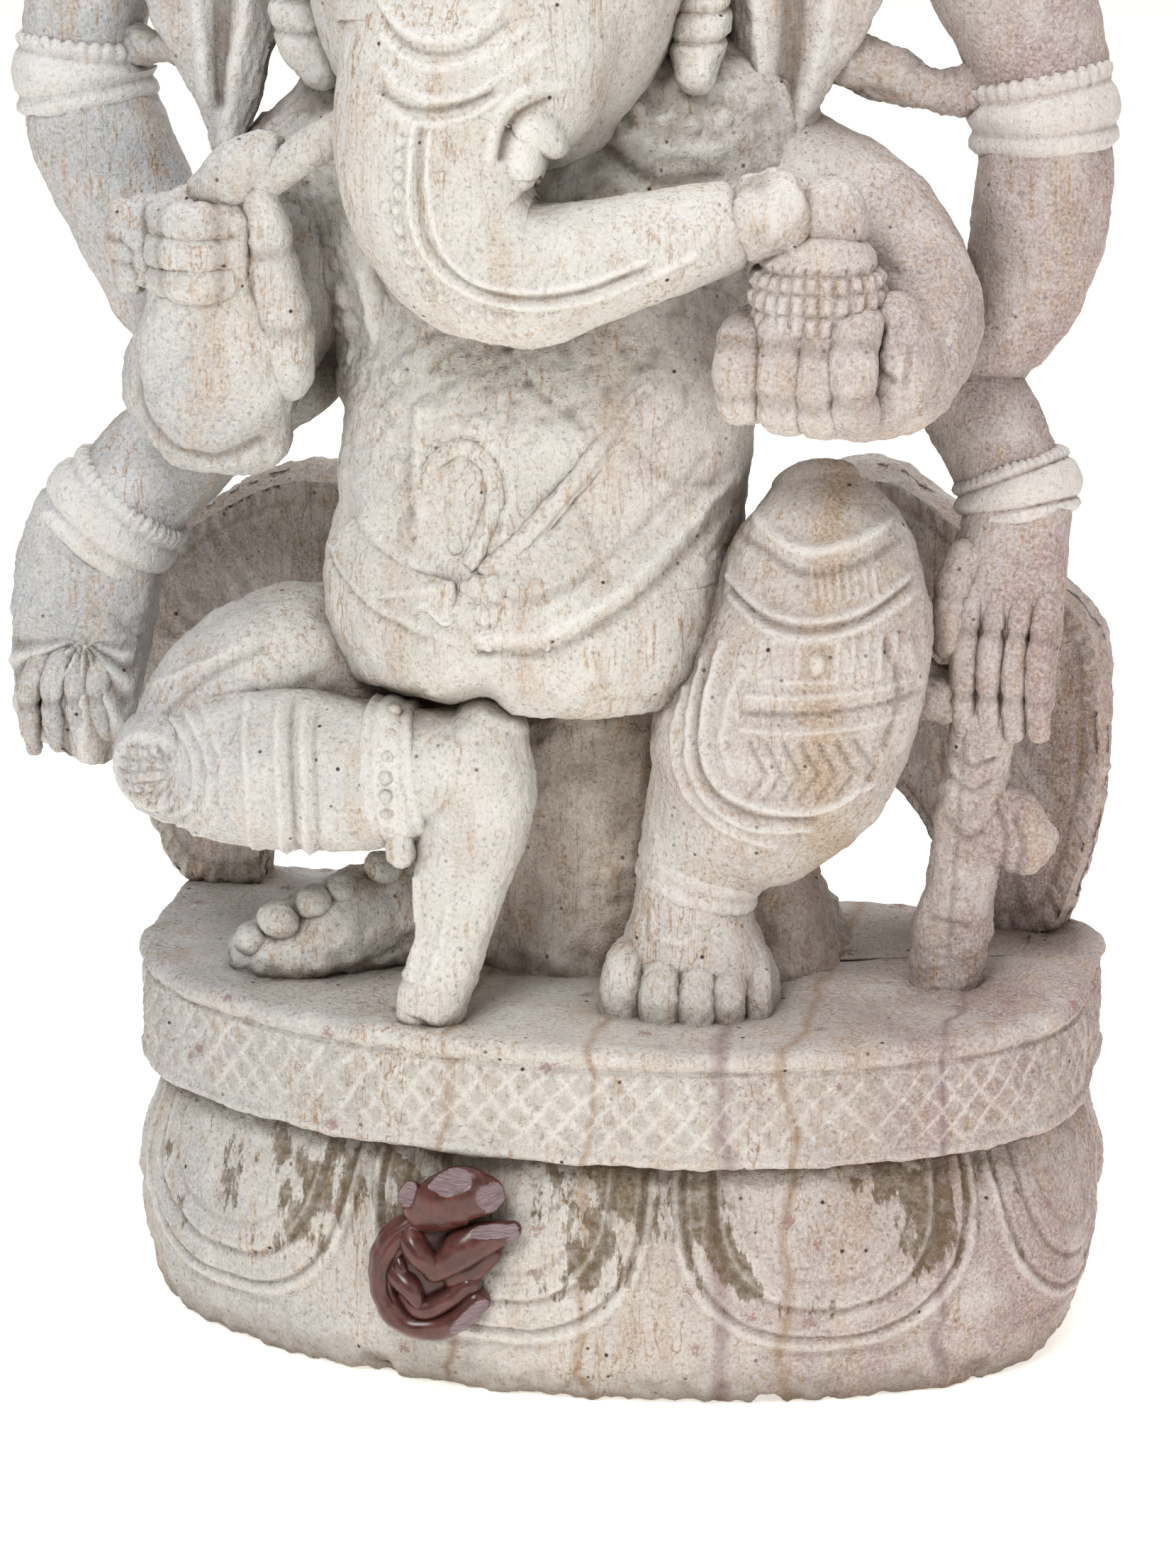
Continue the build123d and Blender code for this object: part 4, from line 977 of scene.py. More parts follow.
leftFront.append(carve(
    tube(
        [(-38.2, -10.4, 57.6, 7, 4.4), (-38.4, -11.8, 62, 8, 5.6), (-38.2, -12.4, 67, 7.8, 5.6),
         (-38.4, -12.6, 72, 6.8, 4.8), (-38.6, -12.4, 76, 6, 4)], 0.32, square=2.4
    ),
    veined([([(-46, 64), (-44.6, 59.4), (-41, 57), (-37.2, 56.4), (-33, 58)], 0.5, -0.45),
            ([(-41, 62), (-39.6, 60.4)], 0.3, 0.3), ([(-42.4, 64.4), (-40.6, 61.4)], 0.25, 0.25)]), 0.25, 0.08
))
pale("front_hand_left", leftFront)

# the right fist, palm up under the bowl: four thick fingers side by side and a round thumb base
rightFront = [carve(
    tube([(30.4, -11.6, 69.6, 5.6, 5.2), (24, -14.6, 68.8, 5.9, 5.6), (18, -15.4, 68.6, 5.2, 4.8)], 0.32,
         reference=(0, -1, 0), square=2.6, ends=(0.6, 0.8)), None, 0.2, 0.06
)]
for x, top, bottom, wide in ((16.8, 72.6, 64.8, 2.5), (20.9, 74, 63.8, 2.5), (24.5, 73.2, 63.6, 2.3),
                             (28.0, 74.4, 64, 2.6)):
    middle = (top + bottom) / 2
    rightFront.append(finger(
        [(x + 0.3, -14.6, top, wide * 0.8, 1.8), (x, -18.4, top - 0.8, wide, 2.3),
         (x - 0.1, -20.4, middle + 0.6, wide, 2.4), (x, -19.6, bottom + 1.6, wide, 2.3),
         (x + 0.4, -15.6, bottom, wide * 0.85, 2.1)], 4
    ))
rightFront.append(carve(
    tube([(30.6, -15.4, 66.4, 3.6, 3.6), (31.8, -15.6, 70, 4.1, 4), (31.2, -15.2, 73.4, 3.2, 3.3)], 0.3),
    veined([([(30.4, 73.4), (30, 69.8), (31.8, 68.6)], 0.4, -0.5), ([(33.4, 72), (33.2, 68)], 0.35, -0.3)]),
    0.25, 0.07
))
pale("front_hand_right", rightFront)


def makeBowl():
    # the heaped bowl of sweets: a fat waist cut by upright and level lines
    def relief(p, n):
        # upright lines where the turned distance repeats, and level lines; the deeper of the two is cut
        h = p[..., 2]
        around = np.arctan2(p[..., 1] + 15, p[..., 0] - 22.9) * 6.4
        up = bell(offLine(around, 1.5), 0.26)
        level = sum(bell(h - g, 0.28) for g in (72.6, 75, 77.2, 79))
        return -0.5 * np.maximum(up * (h > 70.5) * (h < 79.6), level) + 0.2
    return [carve(
        tube(
            [(22.8, -15.4, 71, 5.4, 5.2), (23.2, -15.6, 74, 6.3, 5.6), (23.8, -15.4, 77, 6.6, 5.6),
             (24, -15, 80.2, 5.4, 4.8)], 0.28, square=2.3, ends=(0.5, 0.5)
        ), relief, 0.2, 0.06
    )]


pale("sweet_bowl", makeBowl())
sweetFacets = lambda p, n: 0.35 * np.clip(ripple(p, 6, 41), -1, 1)
pale(
    "hand_sweets",
    [carve(egg((19.3, -17, 84.3), (4.3, 4.2, 4.5), 0.28, 2.5), sweetFacets, 0.25, 0.06),
     carve(egg((24.6, -14.8, 83.6), (3.9, 3.8, 4.0), 0.28, 2.3), None, 0.25, 0.06)]
)


def fanRelief(p, n):
    # ridges that spread down from the knuckles
    x, h = p[..., 0], p[..., 2]
    turn = np.arctan2(x + 55.5, h - 33)
    return 0.45 * np.cos(turn * 16) * np.clip((34 - h) / 3, 0, 1) * frontOnly(n)


leftLower = [carve(
    tube(
        [(-55.4, 3.6, 43.6, 7.2, 5.6), (-56.6, 2.8, 38, 7.6, 5.4), (-57.4, 1.8, 31, 7.3, 5),
         (-58, 1, 24, 6.3, 4.2), (-58.4, 0.6, 20.6, 5.6, 3.6)], 0.32, square=3.0, ends=(0.8, 0.1)
    ), fanRelief, 0.22, 0.07
)]
for x, h, turn in ((-61.4, 27, -0.2), (-59.0, 27.6, 0.1), (-56.4, 28, 0.5), (-54.2, 28.4, 0.9)):
    leftLower.append(finger(
        [(x + 1.2, -1.8, h + 3.2, 1.5, 1.5), (x + 0.4 * turn, -3.8, h, 1.5, 1.5),
         (x + 0.5 * turn, -3.6, h - 4, 1.2, 1.3), (x + 0.9 * turn, -2.2, h - 7, 0.9, 1)], 1
    ))
pale("lower_hand_left", leftLower)
pale(
    "fan_leaf",
    [carve(
        tube(
            [(-54.4, -0.6, 34, 3.2, 2.8), (-54.2, -1.6, 28.6, 4.0, 3.2), (-55.6, -1.8, 22.6, 3.6, 2.6),
             (-56.2, -1.6, 19.8, 3, 2.2)], 0.28, square=2.8, ends=(0.6, 0.1)
        ), fanRelief, 0.2, 0.07
    )]
)

rightLower = [carve(
    tube([(42, 2.8, 50, 5.2, 5), (41.4, 1.2, 43, 5.9, 4.8), (41.2, 0.4, 36, 5.4, 4.4), (41.6, 0, 30, 4.8, 3.8)],
         0.35, square=2.7, ends=(0.8, 0.25)), None, 0.16, 0.06
)]
for k, x in enumerate((37.6, 40.2, 42.8, 45.2)):
    rightLower.append(finger(
        [(x + 0.4, -2.4, 43 - 0.3 * k, 1.25, 1.3), (x, -4.2, 38, 1.4, 1.4), (x - 0.1, -4.4, 33, 1.35, 1.4),
         (x, -3.4, 28.6, 1.2, 1.3)], 2
    ))
rightLower.append(finger(
    [(37.2, -1.6, 46.4, 1.9, 1.8), (35.9, -3.2, 42.4, 1.9, 1.8), (35.8, -4, 37.6, 1.6, 1.6)], 1
))
pink("lower_hand_right", rightLower)
pale(
    "stylus_tusk",
    [carve(
        tube([(-34.4, -14, 83.4, 1.9, 1.9), (-28, -15.4, 88, 2, 2), (-21, -16.6, 92.6, 2.2, 2.2)], 0.28,
             ends=(0.5, 0.5)), None, 0.12, 0.05
    )]
)
print("hands carved")

# axe and struts
axeLines = [([(36.4, 26), (38.6, 24.6), (40.8, 25.6)], 0.35, -0.4),
            ([(36.2, 23.4), (38.4, 22), (40.6, 23)], 0.35, -0.4),
            ([(35.6, 19), (38, 16.8), (40.4, 18)], 0.35, -0.35), ([(37.6, 29), (37, 15), (36.4, 3)], 0.3, -0.3),
            ([(35, 8), (38.6, 7)], 0.3, -0.4)]
pink(
    "axe_handle",
    [carve(
        tube(
            [(39.6, -1.6, 31.5, 3.1, 3), (38.6, -1.2, 24, 3.4, 3.1), (37.4, -0.8, 12, 3.6, 3.2),
             (36.3, -0.4, 5, 3.9, 3.3), (35.7, -0.4, -1, 3.4, 3.1)], 0.3, square=2.8, ends=(0.3, 0)
        ), veined(axeLines), 0.28, 0.09
    )]
)
pink(
    "axe_blade",
    [carve(
        tube([(39, -1.2, 19.6, 3.4, 2.4), (42, -1.2, 17, 4.6, 2.6), (44.8, -1, 15, 3.2, 2.2)], 0.3,
             ends=(0.4, 0.7)),
        veined([([(41, 20.6), (42.2, 17), (41.4, 12.6)], 0.4, -0.4),
                ([(43, 19.6), (44, 16), (43, 12.4)], 0.4, -0.35)]), 0.2, 0.07
    )]
)
struts = {
    "knee_strut": [(30, -4, 34, 3.8, 3), (34.4, -3, 32, 2.9, 2.6), (38.6, -1.6, 31.4, 3.6, 2.8)],
    "arm_strut_left": [(-43.6, 3, 95, 2.4, 2), (-47.6, 5, 94.2, 1.9, 1.7), (-52.4, 7, 94, 2.6, 2.2)],
    "arm_strut_right": [(20, 4, 97, 3.2, 2.6), (27.6, 5.4, 93.8, 2.8, 2.4), (33, 7, 92.4, 2.2, 2.2),
                        (39, 8, 93.6, 3.4, 2.8)]
}
for name, stations in struts.items():
    (pale if name == "arm_strut_left" else pink)(name, [carve(tube(stations, 0.35), None, 0.35, 0.1)])

# the legs, feet and toes
legStations = [(22, -4.4, 54, 4.4, 4.8), (22.8, -6, 50, 8.4, 7.4), (23.2, -7.4, 44.5, 10.6, 9.2),
               (22.8, -8.4, 38.5, 11.9, 10.4), (20.8, -9, 32, 12.8, 11), (18, -9.4, 26, 12.8, 10.8),
               (15.4, -9.8, 21, 10.6, 9.4), (12.4, -10.2, 16.4, 7.6, 7.2), (10.8, -10.6, 12, 6, 6),
               (10.6, -10.6, 9, 5.8, 5.8)]


def legRelief(p, n):
    # the patterned leg cloth: hems, panels, comb strokes and leaf hatching, all strokes on the front
    x, h = p[..., 0], p[..., 2]
    front = frontOnly(n)
    lines = [
        ([(14.2, 52), (18.3, 51.2), (21.6, 49.8), (26.6, 50.2), (32, 52.6)], 0.5, 0.7),
        ([(14.4, 49.8), (18.6, 49.2), (22, 47.8), (27, 48.2), (32.4, 50.4)], 0.4, -0.4),
        ([(14.6, 45.8), (20.1, 43.6), (25, 43.4), (29, 44.4), (32.4, 46.6)], 0.42, 0.55),
        ([(15, 44.2), (20.1, 41.9), (25, 41.7), (29, 42.7), (33, 44.8)], 0.42, 0.55),
        ([(15, 45), (20.1, 42.7), (25, 42.5), (29, 43.5), (32.6, 45.8)], 0.3, -0.35),
        ([(17.8, 35.6), (26, 36), (34, 36.6)], 0.35, 0.42),
        ([(17.4, 33.9), (26, 34.2), (34, 34.9)], 0.35, -0.4),
        ([(17.2, 32.2), (26, 32.4), (33.4, 33.1)], 0.35, 0.4), ([(18.9, 41), (26.5, 41.4)], 0.32, 0.4),
        ([(18.9, 37.2), (26.5, 37.4)], 0.32, 0.4), ([(18.9, 41), (18.9, 37.2)], 0.32, 0.4),
        ([(22.6, 41.2), (22.6, 37.3)], 0.32, 0.4), ([(26.5, 41.4), (26.5, 37.4)], 0.32, 0.4),
        ([(14.6, 40), (13.4, 34), (13, 30.6), (14.5, 26.6), (18.9, 24.3), (25, 23.9), (29.6, 26)], 0.45, 0.6),
        ([(12.6, 38), (11.4, 32), (11.6, 28), (13.4, 24.6), (18, 22), (24, 21.4)], 0.42, 0.5),
        ([(10.8, 34.9), (9.6, 29.6), (11, 25.2), (15, 21.6), (20.5, 19.6)], 0.4, 0.4),
        ([(13.6, 39), (12.4, 33), (12.3, 29.4), (14, 25.6), (18.4, 23.2), (24.4, 22.7)], 0.3, -0.4),
        ([(16.8, 38), (15.4, 33), (15.2, 30), (16.4, 27.6)], 0.4, 0.4),
        ([(33, 40), (34.2, 35), (32.4, 29)], 0.5, 0.4), ([(31, 41), (32.4, 36), (31, 30)], 0.4, -0.4)
    ]
    out = strokes(x, h, lines)
    for k in range(8):  # comb strokes beside the knee
        a = 23.4 + 0.85 * k
        out += strokes(x, h, [([(a, 48.2 - 0.05 * k), (a + 0.5, 45.4)], 0.24, 0.38)])
    for k in range(4):  # upright bars beside the panels
        out += strokes(x, h, [([(28 + 1.3 * k, 41.4), (27.8 + 1.3 * k, 37.6)], 0.3, 0.38)])
    for k in range(7):  # leaf hatching under the knee band
        a = 18 + 1.75 * k
        out += strokes(
            x, h, [([(a, 31), (a + 1.7, 27.6)], 0.26, -0.36), ([(a + 1.5, 27.4), (a - 0.1, 25)], 0.26, -0.3)]
        )
    leafDrop = np.sqrt(np.clip(1 - ((x - 24.6) / 0.8) ** 2 - ((h - 39.2) / 1.2) ** 2, 0, 1)) * 0.6
    return (out + leafDrop) * front


stonePiece("standing_leg", [carve(tube(legStations, 0.3, ends=(0.5, 0)), legRelief, 0.16, 0.045)],
           ["standing_leg"], legStone)
pale("standing_anklet", ringBand([(11.8, -10.3, 14.6, 6.4, 6.45), (11, -10.5, 12, 5.95, 6.05)], 2, 0.35))


def makeFoot():
    # the instep: superellipses that widen downwards, with a square plate scored on top
    top = [(10.8, -9.6, 13, 5.6, 5.4), (10.7, -10.4, 9.8, 5.8, 5.8), (10.7, -10.6, 7.2, 6.8, 6.0),
           (10.8, -10.6, 4.6, 8.2, 6.2), (10.8, -10.6, 1.2, 8.8, 6.3), (10.8, -10.6, -1, 8.8, 6.3)]
    plate = lambda p, n: strokes(
        p[..., 0], p[..., 2], [([(7.8, 11.4), (11.8, 11.4), (11.8, 8.6), (7.8, 8.6), (7.8, 11.4)], 0.4, 0.35)]
    ) * frontOnly(n)
    return [carve(tube(top, 0.35, square=2.3, ends=(0, 0)), plate, 0.2, 0.07)]


pale("standing_foot", makeFoot())
toes = [(4.5, -16.6, 2.3, 4.0), (8.6, -17.8, 2.1, 3.8), (12.3, -17.7, 1.9, 3.6), (15.5, -16.7, 1.75, 3.4),
        (18.1, -14.8, 1.5, 3.1)]
toeGrids = []
for x, y, half, high in toes:
    def nail(p, n):
        # the nail: one shallow arc across the toe's brow
        return strokes(
            p[..., 0], p[..., 2],
            [([(x - 0.6 * half, 0.7 * high), (x, 0.95 * high), (x + 0.6 * half, 0.7 * high)], 0.28, -0.16)]
        ) * frontOnly(n)
    inner = 10.4 + 0.82 * (x - 10.4)
    toeGrids.append(carve(
        tube(
            [(inner, y + 6.0, high + 1.2, half * 0.9, half * 0.8),
             (x * 0.85 + inner * 0.15, y + 2.2, high + 0.5, half, half),
             (x, y + 0.3, high * 0.62, half * 1.04, half), (x, y + 0.3, 0, half * 1.0, half * 1.04)], 0.22,
            reference=(0, -1, 0.2), square=2.3
        ), nail, 0.14, 0.06
    ))
pale("standing_toes", toeGrids)

thigh = [(-12, 2, 27, 9.5, 9), (-18, -1.4, 29.6, 9.4, 9), (-25, -4.6, 32, 8.9, 8.8), (-32, -8.2, 33, 8, 8),
         (-38.4, -11.4, 30.6, 7, 7), (-42, -13.6, 26.8, 5.6, 6)]
pale(
    "crossed_thigh",
    [carve(
        tube(thigh, 0.42, ends=(0.1, 1)),
        veined([([(-44.5, 32), (-41, 34), (-36, 36.5)], 0.4, 0.35),
                ([(-42.6, 30), (-38, 34), (-33, 36.6)], 0.4, -0.35)]), 0.2, 0.06
    )]
)


def shinRelief(p, n):
    # four hem bands across the shin, and arcs that ring the knee cap
    x, h = p[..., 0], p[..., 2]
    front = frontOnly(n)
    lines = [([(-34.2, 34), (-32.8, 25), (-33.2, 15)], 0.4, 0.45),
             ([(-30.7, 34), (-29.4, 25), (-30, 15)], 0.38, 0.5),
             ([(-29.3, 34), (-28, 25), (-28.6, 15)], 0.32, -0.4),
             ([(-28, 34), (-26.8, 25), (-27.4, 15)], 0.38, 0.5),
             ([(-26.8, 34), (-25.6, 25), (-26.2, 15)], 0.3, -0.3)]
    out = strokes(x, h, lines)
    for k in range(3):  # arcs that ring the knee cap
        r = 5.2 + 1.5 * k
        a = np.linspace(-1.25, 1.25, 7)
        out += strokes(x, h,
                       [(list(zip(-43.6 + r * np.cos(a), 24.6 + r * np.sin(a))), 0.35, 0.42 if k < 2 else 0.3)])
    return out * front


pale(
    "crossed_shin",
    [carve(
        tube(
            [(-42.2, -14.6, 23.6, 6.6, 6.4), (-37.6, -16, 24, 8, 7.2), (-31, -16.6, 24.2, 8.5, 7.6),
             (-24, -17, 24.2, 8.1, 7.4), (-17, -17, 24.8, 6.8, 6.6), (-11.4, -16.6, 26, 5.8, 5.8)], 0.3,
            reference=(0, -1, 0)
        ), shinRelief, 0.16, 0.045
    )]
)


def capRelief(p, n):
    # a round boss cross-hatched by two sets of lines
    x, h = p[..., 0], p[..., 2]
    cut = np.zeros(x.shape)
    for a in (x + 0.15 * h, h - 0.1 * x):
        cut = np.maximum(cut, bell(offLine(a, 1.25), 0.2))
    far = np.sqrt((x + 43.6) ** 2 + (h - 24.6) ** 2)
    return (-0.3 * cut * (far < 3.3) + 0.4 * bell(far - 3.8, 0.35)) * frontOnly(n)


pale(
    "knee_cap",
    [carve(
        tube([(-44.6, -14.8, 24.4, 4.8, 4.8), (-43.2, -18, 24.6, 5.0, 5.2), (-41.8, -20.4, 24.7, 4.4, 4.6)],
             0.28, reference=(0, 0, 1), ends=(0.6, 0.35)), capRelief, 0.1, 0.04
    )]
)

ankletGrid = ringBand(
    [(-20.4, -17, 24.6, 7.6, 7), (-18.4, -17, 24.8, 7.3, 6.8), (-16.4, -16.9, 25.1, 6.9, 6.5)], 3, 0.55
)
for h in np.linspace(17, 32, 9):
    ankletGrid.append(carve(
        egg((-18.3 - 0.02 * (h - 25), -17 - 7.6 * math.cos((h - 24.8) / 8.2 * 1.4), h), (0.75, 0.75, 0.7), 0.2),
        None, 0.05, 0.03
    ))
ankletGrid.append(carve(tube([(-17.6, -21.6, 19.6, 1.3, 1.2), (-17.4, -21.4, 17.4, 1.7, 1.5)], 0.25), None,
                        0.12, 0.04))
pale("crossed_anklet", ankletGrid)

footPath = [(-9.2, -15.4, 30, 3.8, 4.4), (-10.2, -16.4, 27, 5.6, 5.4), (-10.8, -17.2, 22.6, 6.2, 5.6),
            (-11.2, -18.2, 18, 5.7, 5.1), (-11.7, -19.6, 13.4, 4.7, 4.3), (-12.1, -20.8, 8.8, 3.7, 3.6),
            (-13.2, -21.8, 4.8, 3.7, 3.2), (-14.6, -22.4, 1, 3.6, 2.8)]
footLines = [([(-15.6, 15), (-15.4, 9), (-16, 5)], 0.4, 0.4), ([(-12, 13), (-12.8, 8.6), (-14, 5)], 0.45, 0.4)]
pale(
    "crossed_foot",
    [carve(tube(footPath, 0.32, square=2.2, ends=(0.7, 0.4)), veined(footLines), 0.18, 0.06),
     finger([(-12.4, -21.8, 6.2, 1.5, 1.5), (-13.2, -23.2, 2.8, 1.7, 1.5), (-13.6, -23.2, 0.8, 1.6, 1.4)], 1),
     finger([(-14.8, -21.8, 7, 1.7, 1.6), (-15.6, -23.4, 3, 1.9, 1.7), (-15.9, -23.4, 0.8, 1.8, 1.6)], 1)]
)
print("legs carved")

# upright leaf plates
plates = {
    "left": [(-42, -1), (-41, 5), (-36, 13), (-27, 21), (-20, 32), (-24, 43), (-36, 47), (-46, 43), (-54, 36),
             (-58, 26), (-57.4, 15), (-54.6, 6.5), (-50.6, -1), (-46, -1.6)],
    "right": [(36, -1), (33, 7), (27, 16), (17, 23), (10, 32), (14, 46), (27, 50), (34, 45.4), (43, 40),
              (49, 34), (50.2, 25), (49.8, 13), (48, 5.5), (45, -1), (40.5, -1.6)]
}


def slabGrid(outline, yFront, thick, step=0.4):
    # a flat leaf: rings shrink towards the outline's middle on both faces, and the rim between them is rounded
    path = np.array([(x, z, 0) for x, z in outline] + [(*outline[0], 0)], float)
    ring = smoothLine(path, int(np.linalg.norm(np.diff(path, axis=0), axis=1).sum() / step) + 1)[0][:-1, :2]
    heart = ring.mean(0)
    shares = np.concatenate([np.linspace(0.02, 0.95, 30), 1 - 0.05 * np.cos(np.linspace(0.3, np.pi / 2, 5)),
                             1 - 0.05 * np.cos(np.linspace(np.pi / 2, 2.84, 5)), np.linspace(0.95, 0.02, 30)])
    depth = np.concatenate([np.zeros(30), thick * 0.5 * (1 - np.cos(np.linspace(0.3, np.pi / 2, 5))),
                            thick * 0.5 * (1 + np.sin(np.linspace(0, 1.27, 5))), np.full(30, thick)])
    rings = heart + (ring - heart)[None] * np.minimum(shares, 1)[:, None, None]
    y = np.broadcast_to((yFront + depth)[:, None, None], rings.shape[:2] + (1,))
    return np.concatenate([rings[..., :1], y, rings[..., 1:]], -1), shares, ring


for side in ("left", "right"):
    grid, shares, ring = slabGrid(plates[side], 15.5, 6.0)
    lengthRound = np.concatenate([[0], np.cumsum(np.linalg.norm(np.diff(ring, axis=0), axis=1))])
    outer = np.clip((ring[:, 0] - 20) / 10, 0, 1) if side == "right" else np.clip((-30 - ring[:, 0]) / 10, 0, 1)

    def relief(p, n):
        # short strokes across the rim, a line inside them and a worn, pitted face
        share = np.broadcast_to(shares[:, None], p.shape[:2])
        hatch = bell(offLine(lengthRound[None], 1.9),
                     0.3) * np.exp(-(((share - 0.90) / 0.035) ** 4)) * outer[None]
        line = bell(share - 0.85, 0.012) * outer[None]
        worn = 0.14 * np.clip(ripple(p, 3, 61), -1, 1)
        return worn - 0.3 * hatch - 0.25 * line, 0.5 * hatch - 0.3 * line - 0.08
    made = [carve(grid, relief, 0.2, 0.08)]
    stonePiece(f"back_plate_{side}", made, [f"back_plate_{side}"],
               shadedWallStone if side == "left" else pinkStone)

# belt, buckle and thread
def onBelly(points, rise, wide, deep):
    # a cord laid on the belly: its points are (x, h), and y follows the belly's front
    return [(x, bellyFront(x, h) - 0.7 - rise, h, wide, deep) for x, h in points]


def beltRelief(p, n):
    # scrolls along the belt: a wave of raised arcs
    x = p[..., 0]
    h = p[..., 2] - 44.5 + 0.28 * np.abs(x + 9)
    wave = 1.1 * np.sin(x * 1.15)
    return (0.5 * bell(h - wave, 0.5) + 0.35 * bell(np.abs(h) - 2.6, 0.4)) * frontOnly(n)


pale(
    "belly_belt",
    [carve(
        tube(
            onBelly([(-24.6, 48.4), (-22.4, 46.9), (-20.1, 45.8), (-17.8, 45.1), (-15.6, 44.6), (-12.4, 44.0)],
                    -0.55, 2.4, 0.9), 0.26, square=2.6
        ), beltRelief, 0.14, 0.05
    )]
)
buckleGrids = [carve(
    tube(onBelly([(-9.4, 46.4), (-8.6, 43.6), (-7.8, 40.6)], -0.55, 2.4, 1.0), 0.26, square=2.4,
         ends=(0.7, 0.7)),
    veined([([(-12, 45), (-6, 44.4)], 0.36, -0.4), ([(-11, 42.4), (-5.4, 41.8)], 0.36, -0.4),
            ([(-9.6, 47), (-8, 40)], 0.5, 0.35)]), 0.14, 0.05
)]
for k in range(4):  # worn teeth of the buckle's fringe
    x = -6.4 + 1.3 * k
    buckleGrids.append(carve(
        tube(
            onBelly([(x, 44.6 - 0.3 * k), (x + 0.1, 42.4 - 0.2 * k), (x + 0.2, 40.8 - 0.1 * k)], -0.55, 0.75,
                    0.8), 0.24
        ), None, 0.1, 0.05
    ))
pale("belt_buckle", buckleGrids)
threadGrids = [
    carve(
        tube(
            onBelly([(-8.6, 47.4), (-5.2, 50.4), (-2.2, 53.7), (1.1, 58), (4.1, 62.2), (6.4, 66.4)], -0.6, 1.1,
                    0.8), 0.25, square=2.4
        ), veined([([(-5, 49), (1.4, 57), (6, 64.8)], 0.3, -0.25)]), 0.14, 0.05
    ),
    carve(
        tube(
            onBelly(
                [(-15.4, 54.5), (-14.4, 57.4), (-11.8, 58.9), (-9.3, 57.8), (-8.3, 54.4), (-9.2, 50.8),
                 (-10.2, 48.2)], -0.62, 1.1, 1.0
            ), 0.25, square=2.4
        ), veined([([(-14.6, 57), (-11.8, 58.6), (-9.2, 57.2), (-8.6, 53), (-10.2, 47)], 0.3, 0.25)]), 0.14,
        0.05
    ), carve(tube(onBelly([(-12.4, 56), (-12.2, 53), (-11.8, 49.6)], -0.6, 0.9, 0.8), 0.25), None, 0.14, 0.05)
]
pale("sacred_thread", threadGrids)

# offering
pale(
    "offering_tray",
    [carve(
        tube(
            [(-37, -9, 0.6, 3, 3.6), (-33, -8.6, 2, 4.2, 4.8), (-28, -7, 3.8, 5.2, 5.8),
             (-22, -4, 5.4, 5.8, 6.4), (-17.6, -2, 6, 5.8, 6.4)], 0.4, ends=(0.6, 0.4)
        ), None, 0.45, 0.1
    )]
)
pale(
    "offering_sweets",
    [
        carve(egg(c, (r, r, r * 0.9), 0.28), None, 0.25, 0.06) for c,
        r in (((-36, -11.8, 3.6), 1.9), ((-32.8, -12, 6), 2.3), ((-29.2, -11, 7.8), 1.9),
              ((-26.4, -9.8, 9.2), 1.7), ((-22.6, -7.6, 11), 1.9))
    ]
)

# the mouse on the lotus face
mouseLow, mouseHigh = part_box("mouse_body")
mx = (mouseLow.x + mouseHigh.x) / 2 / mm + 0.5  # the mouse's middle
mz = (mouseLow.z + mouseHigh.z) / 2 / mm - slabTop + 0.5
my = -27.0  # the lotus's face behind it


def shaved(p, planes):
    # flat cuts: whatever stands past a plane is pressed back onto it; returns the points and the cuts
    cutMark = np.zeros(p.shape[:2])
    for origin, normal in planes:
        n = unit(np.array(normal, float))
        past = np.clip((p - np.array(origin) * (1, -1, 1) - (mx, my, mz)) @ n, 0, None)
        p = p - past[..., None] * n
        cutMark = np.maximum(cutMark, (past > 0.03) * 1.0)
    return p, cutMark


def mouseLump(stations, planes=(), step=0.17, relief=None, **shape):
    # stations are measured from the mouse's middle and from the lotus's face, forward positive
    placed = [(mx + x, my - out, mz + h, wide, deep) for x, out, h, wide, deep in stations]
    return shaved(carve(tube(placed, step, **shape), relief, 0.12, 0.0)[0], planes)


def backLines(p, n):
    # fine lines combed along the bent back
    turn = np.linspace(0, 2 * np.pi, p.shape[1], endpoint=False)[None]
    return -0.16 * np.clip(np.cos(turn * 7), 0.3, 1) * np.ones(p.shape[:2]) * (
        np.linspace(0, 1, p.shape[0])[:, None] < 0.5
    )


mouseBody = [
    mouseLump([(-0.6, 1.2, 3.6, 3.6, 2), (-1.0, 1.4, 0, 5, 2.4), (-0.4, 1.4, -4, 4.6, 2.2)]),
    mouseLump(
        [(-1.0, 2.2, 5.2, 1.6, 1.6), (-3.4, 2.6, 3.4, 1.7, 1.9), (-4.8, 2.8, 0.4, 1.6, 1.9),
         (-4.7, 2.8, -2.8, 1.6, 1.9), (-2.9, 3, -5.4, 1.6, 1.9), (0.2, 3, -6.2, 1.5, 1.8),
         (3, 2.8, -5.0, 1.5, 1.7), (4.6, 2.2, -3.2, 1.5, 1.6)], [((4.2, 3.7, -4.4), (0.62, -0.7, -0.35))],
        relief=backLines
    ),
    mouseLump(
        [(-2.4, 2.8, -2.8, 1.0, 1.2), (-0.6, 3.5, -3.9, 1.2, 1.3), (1.4, 3.4, -3.2, 1.2, 1.3),
         (4.0, 2.8, -1.2, 1.3, 1.4)], relief=None
    ),
    mouseLump([(-3.6, 3, -0.4, 1.2, 1.3), (-2.0, 3.9, -1.4, 1.2, 1.3), (-1.0, 4.1, -2.8, 0.9, 1.1),
               (-0.8, 3.8, -3.8, 0.5, 0.7)]),
    mouseLump([(-3.2, 3, 1.2, 0.7, 0.9), (-2.8, 3.6, 0.2, 0.8, 0.9), (-3.0, 3.8, -0.9, 0.6, 0.7)])
]
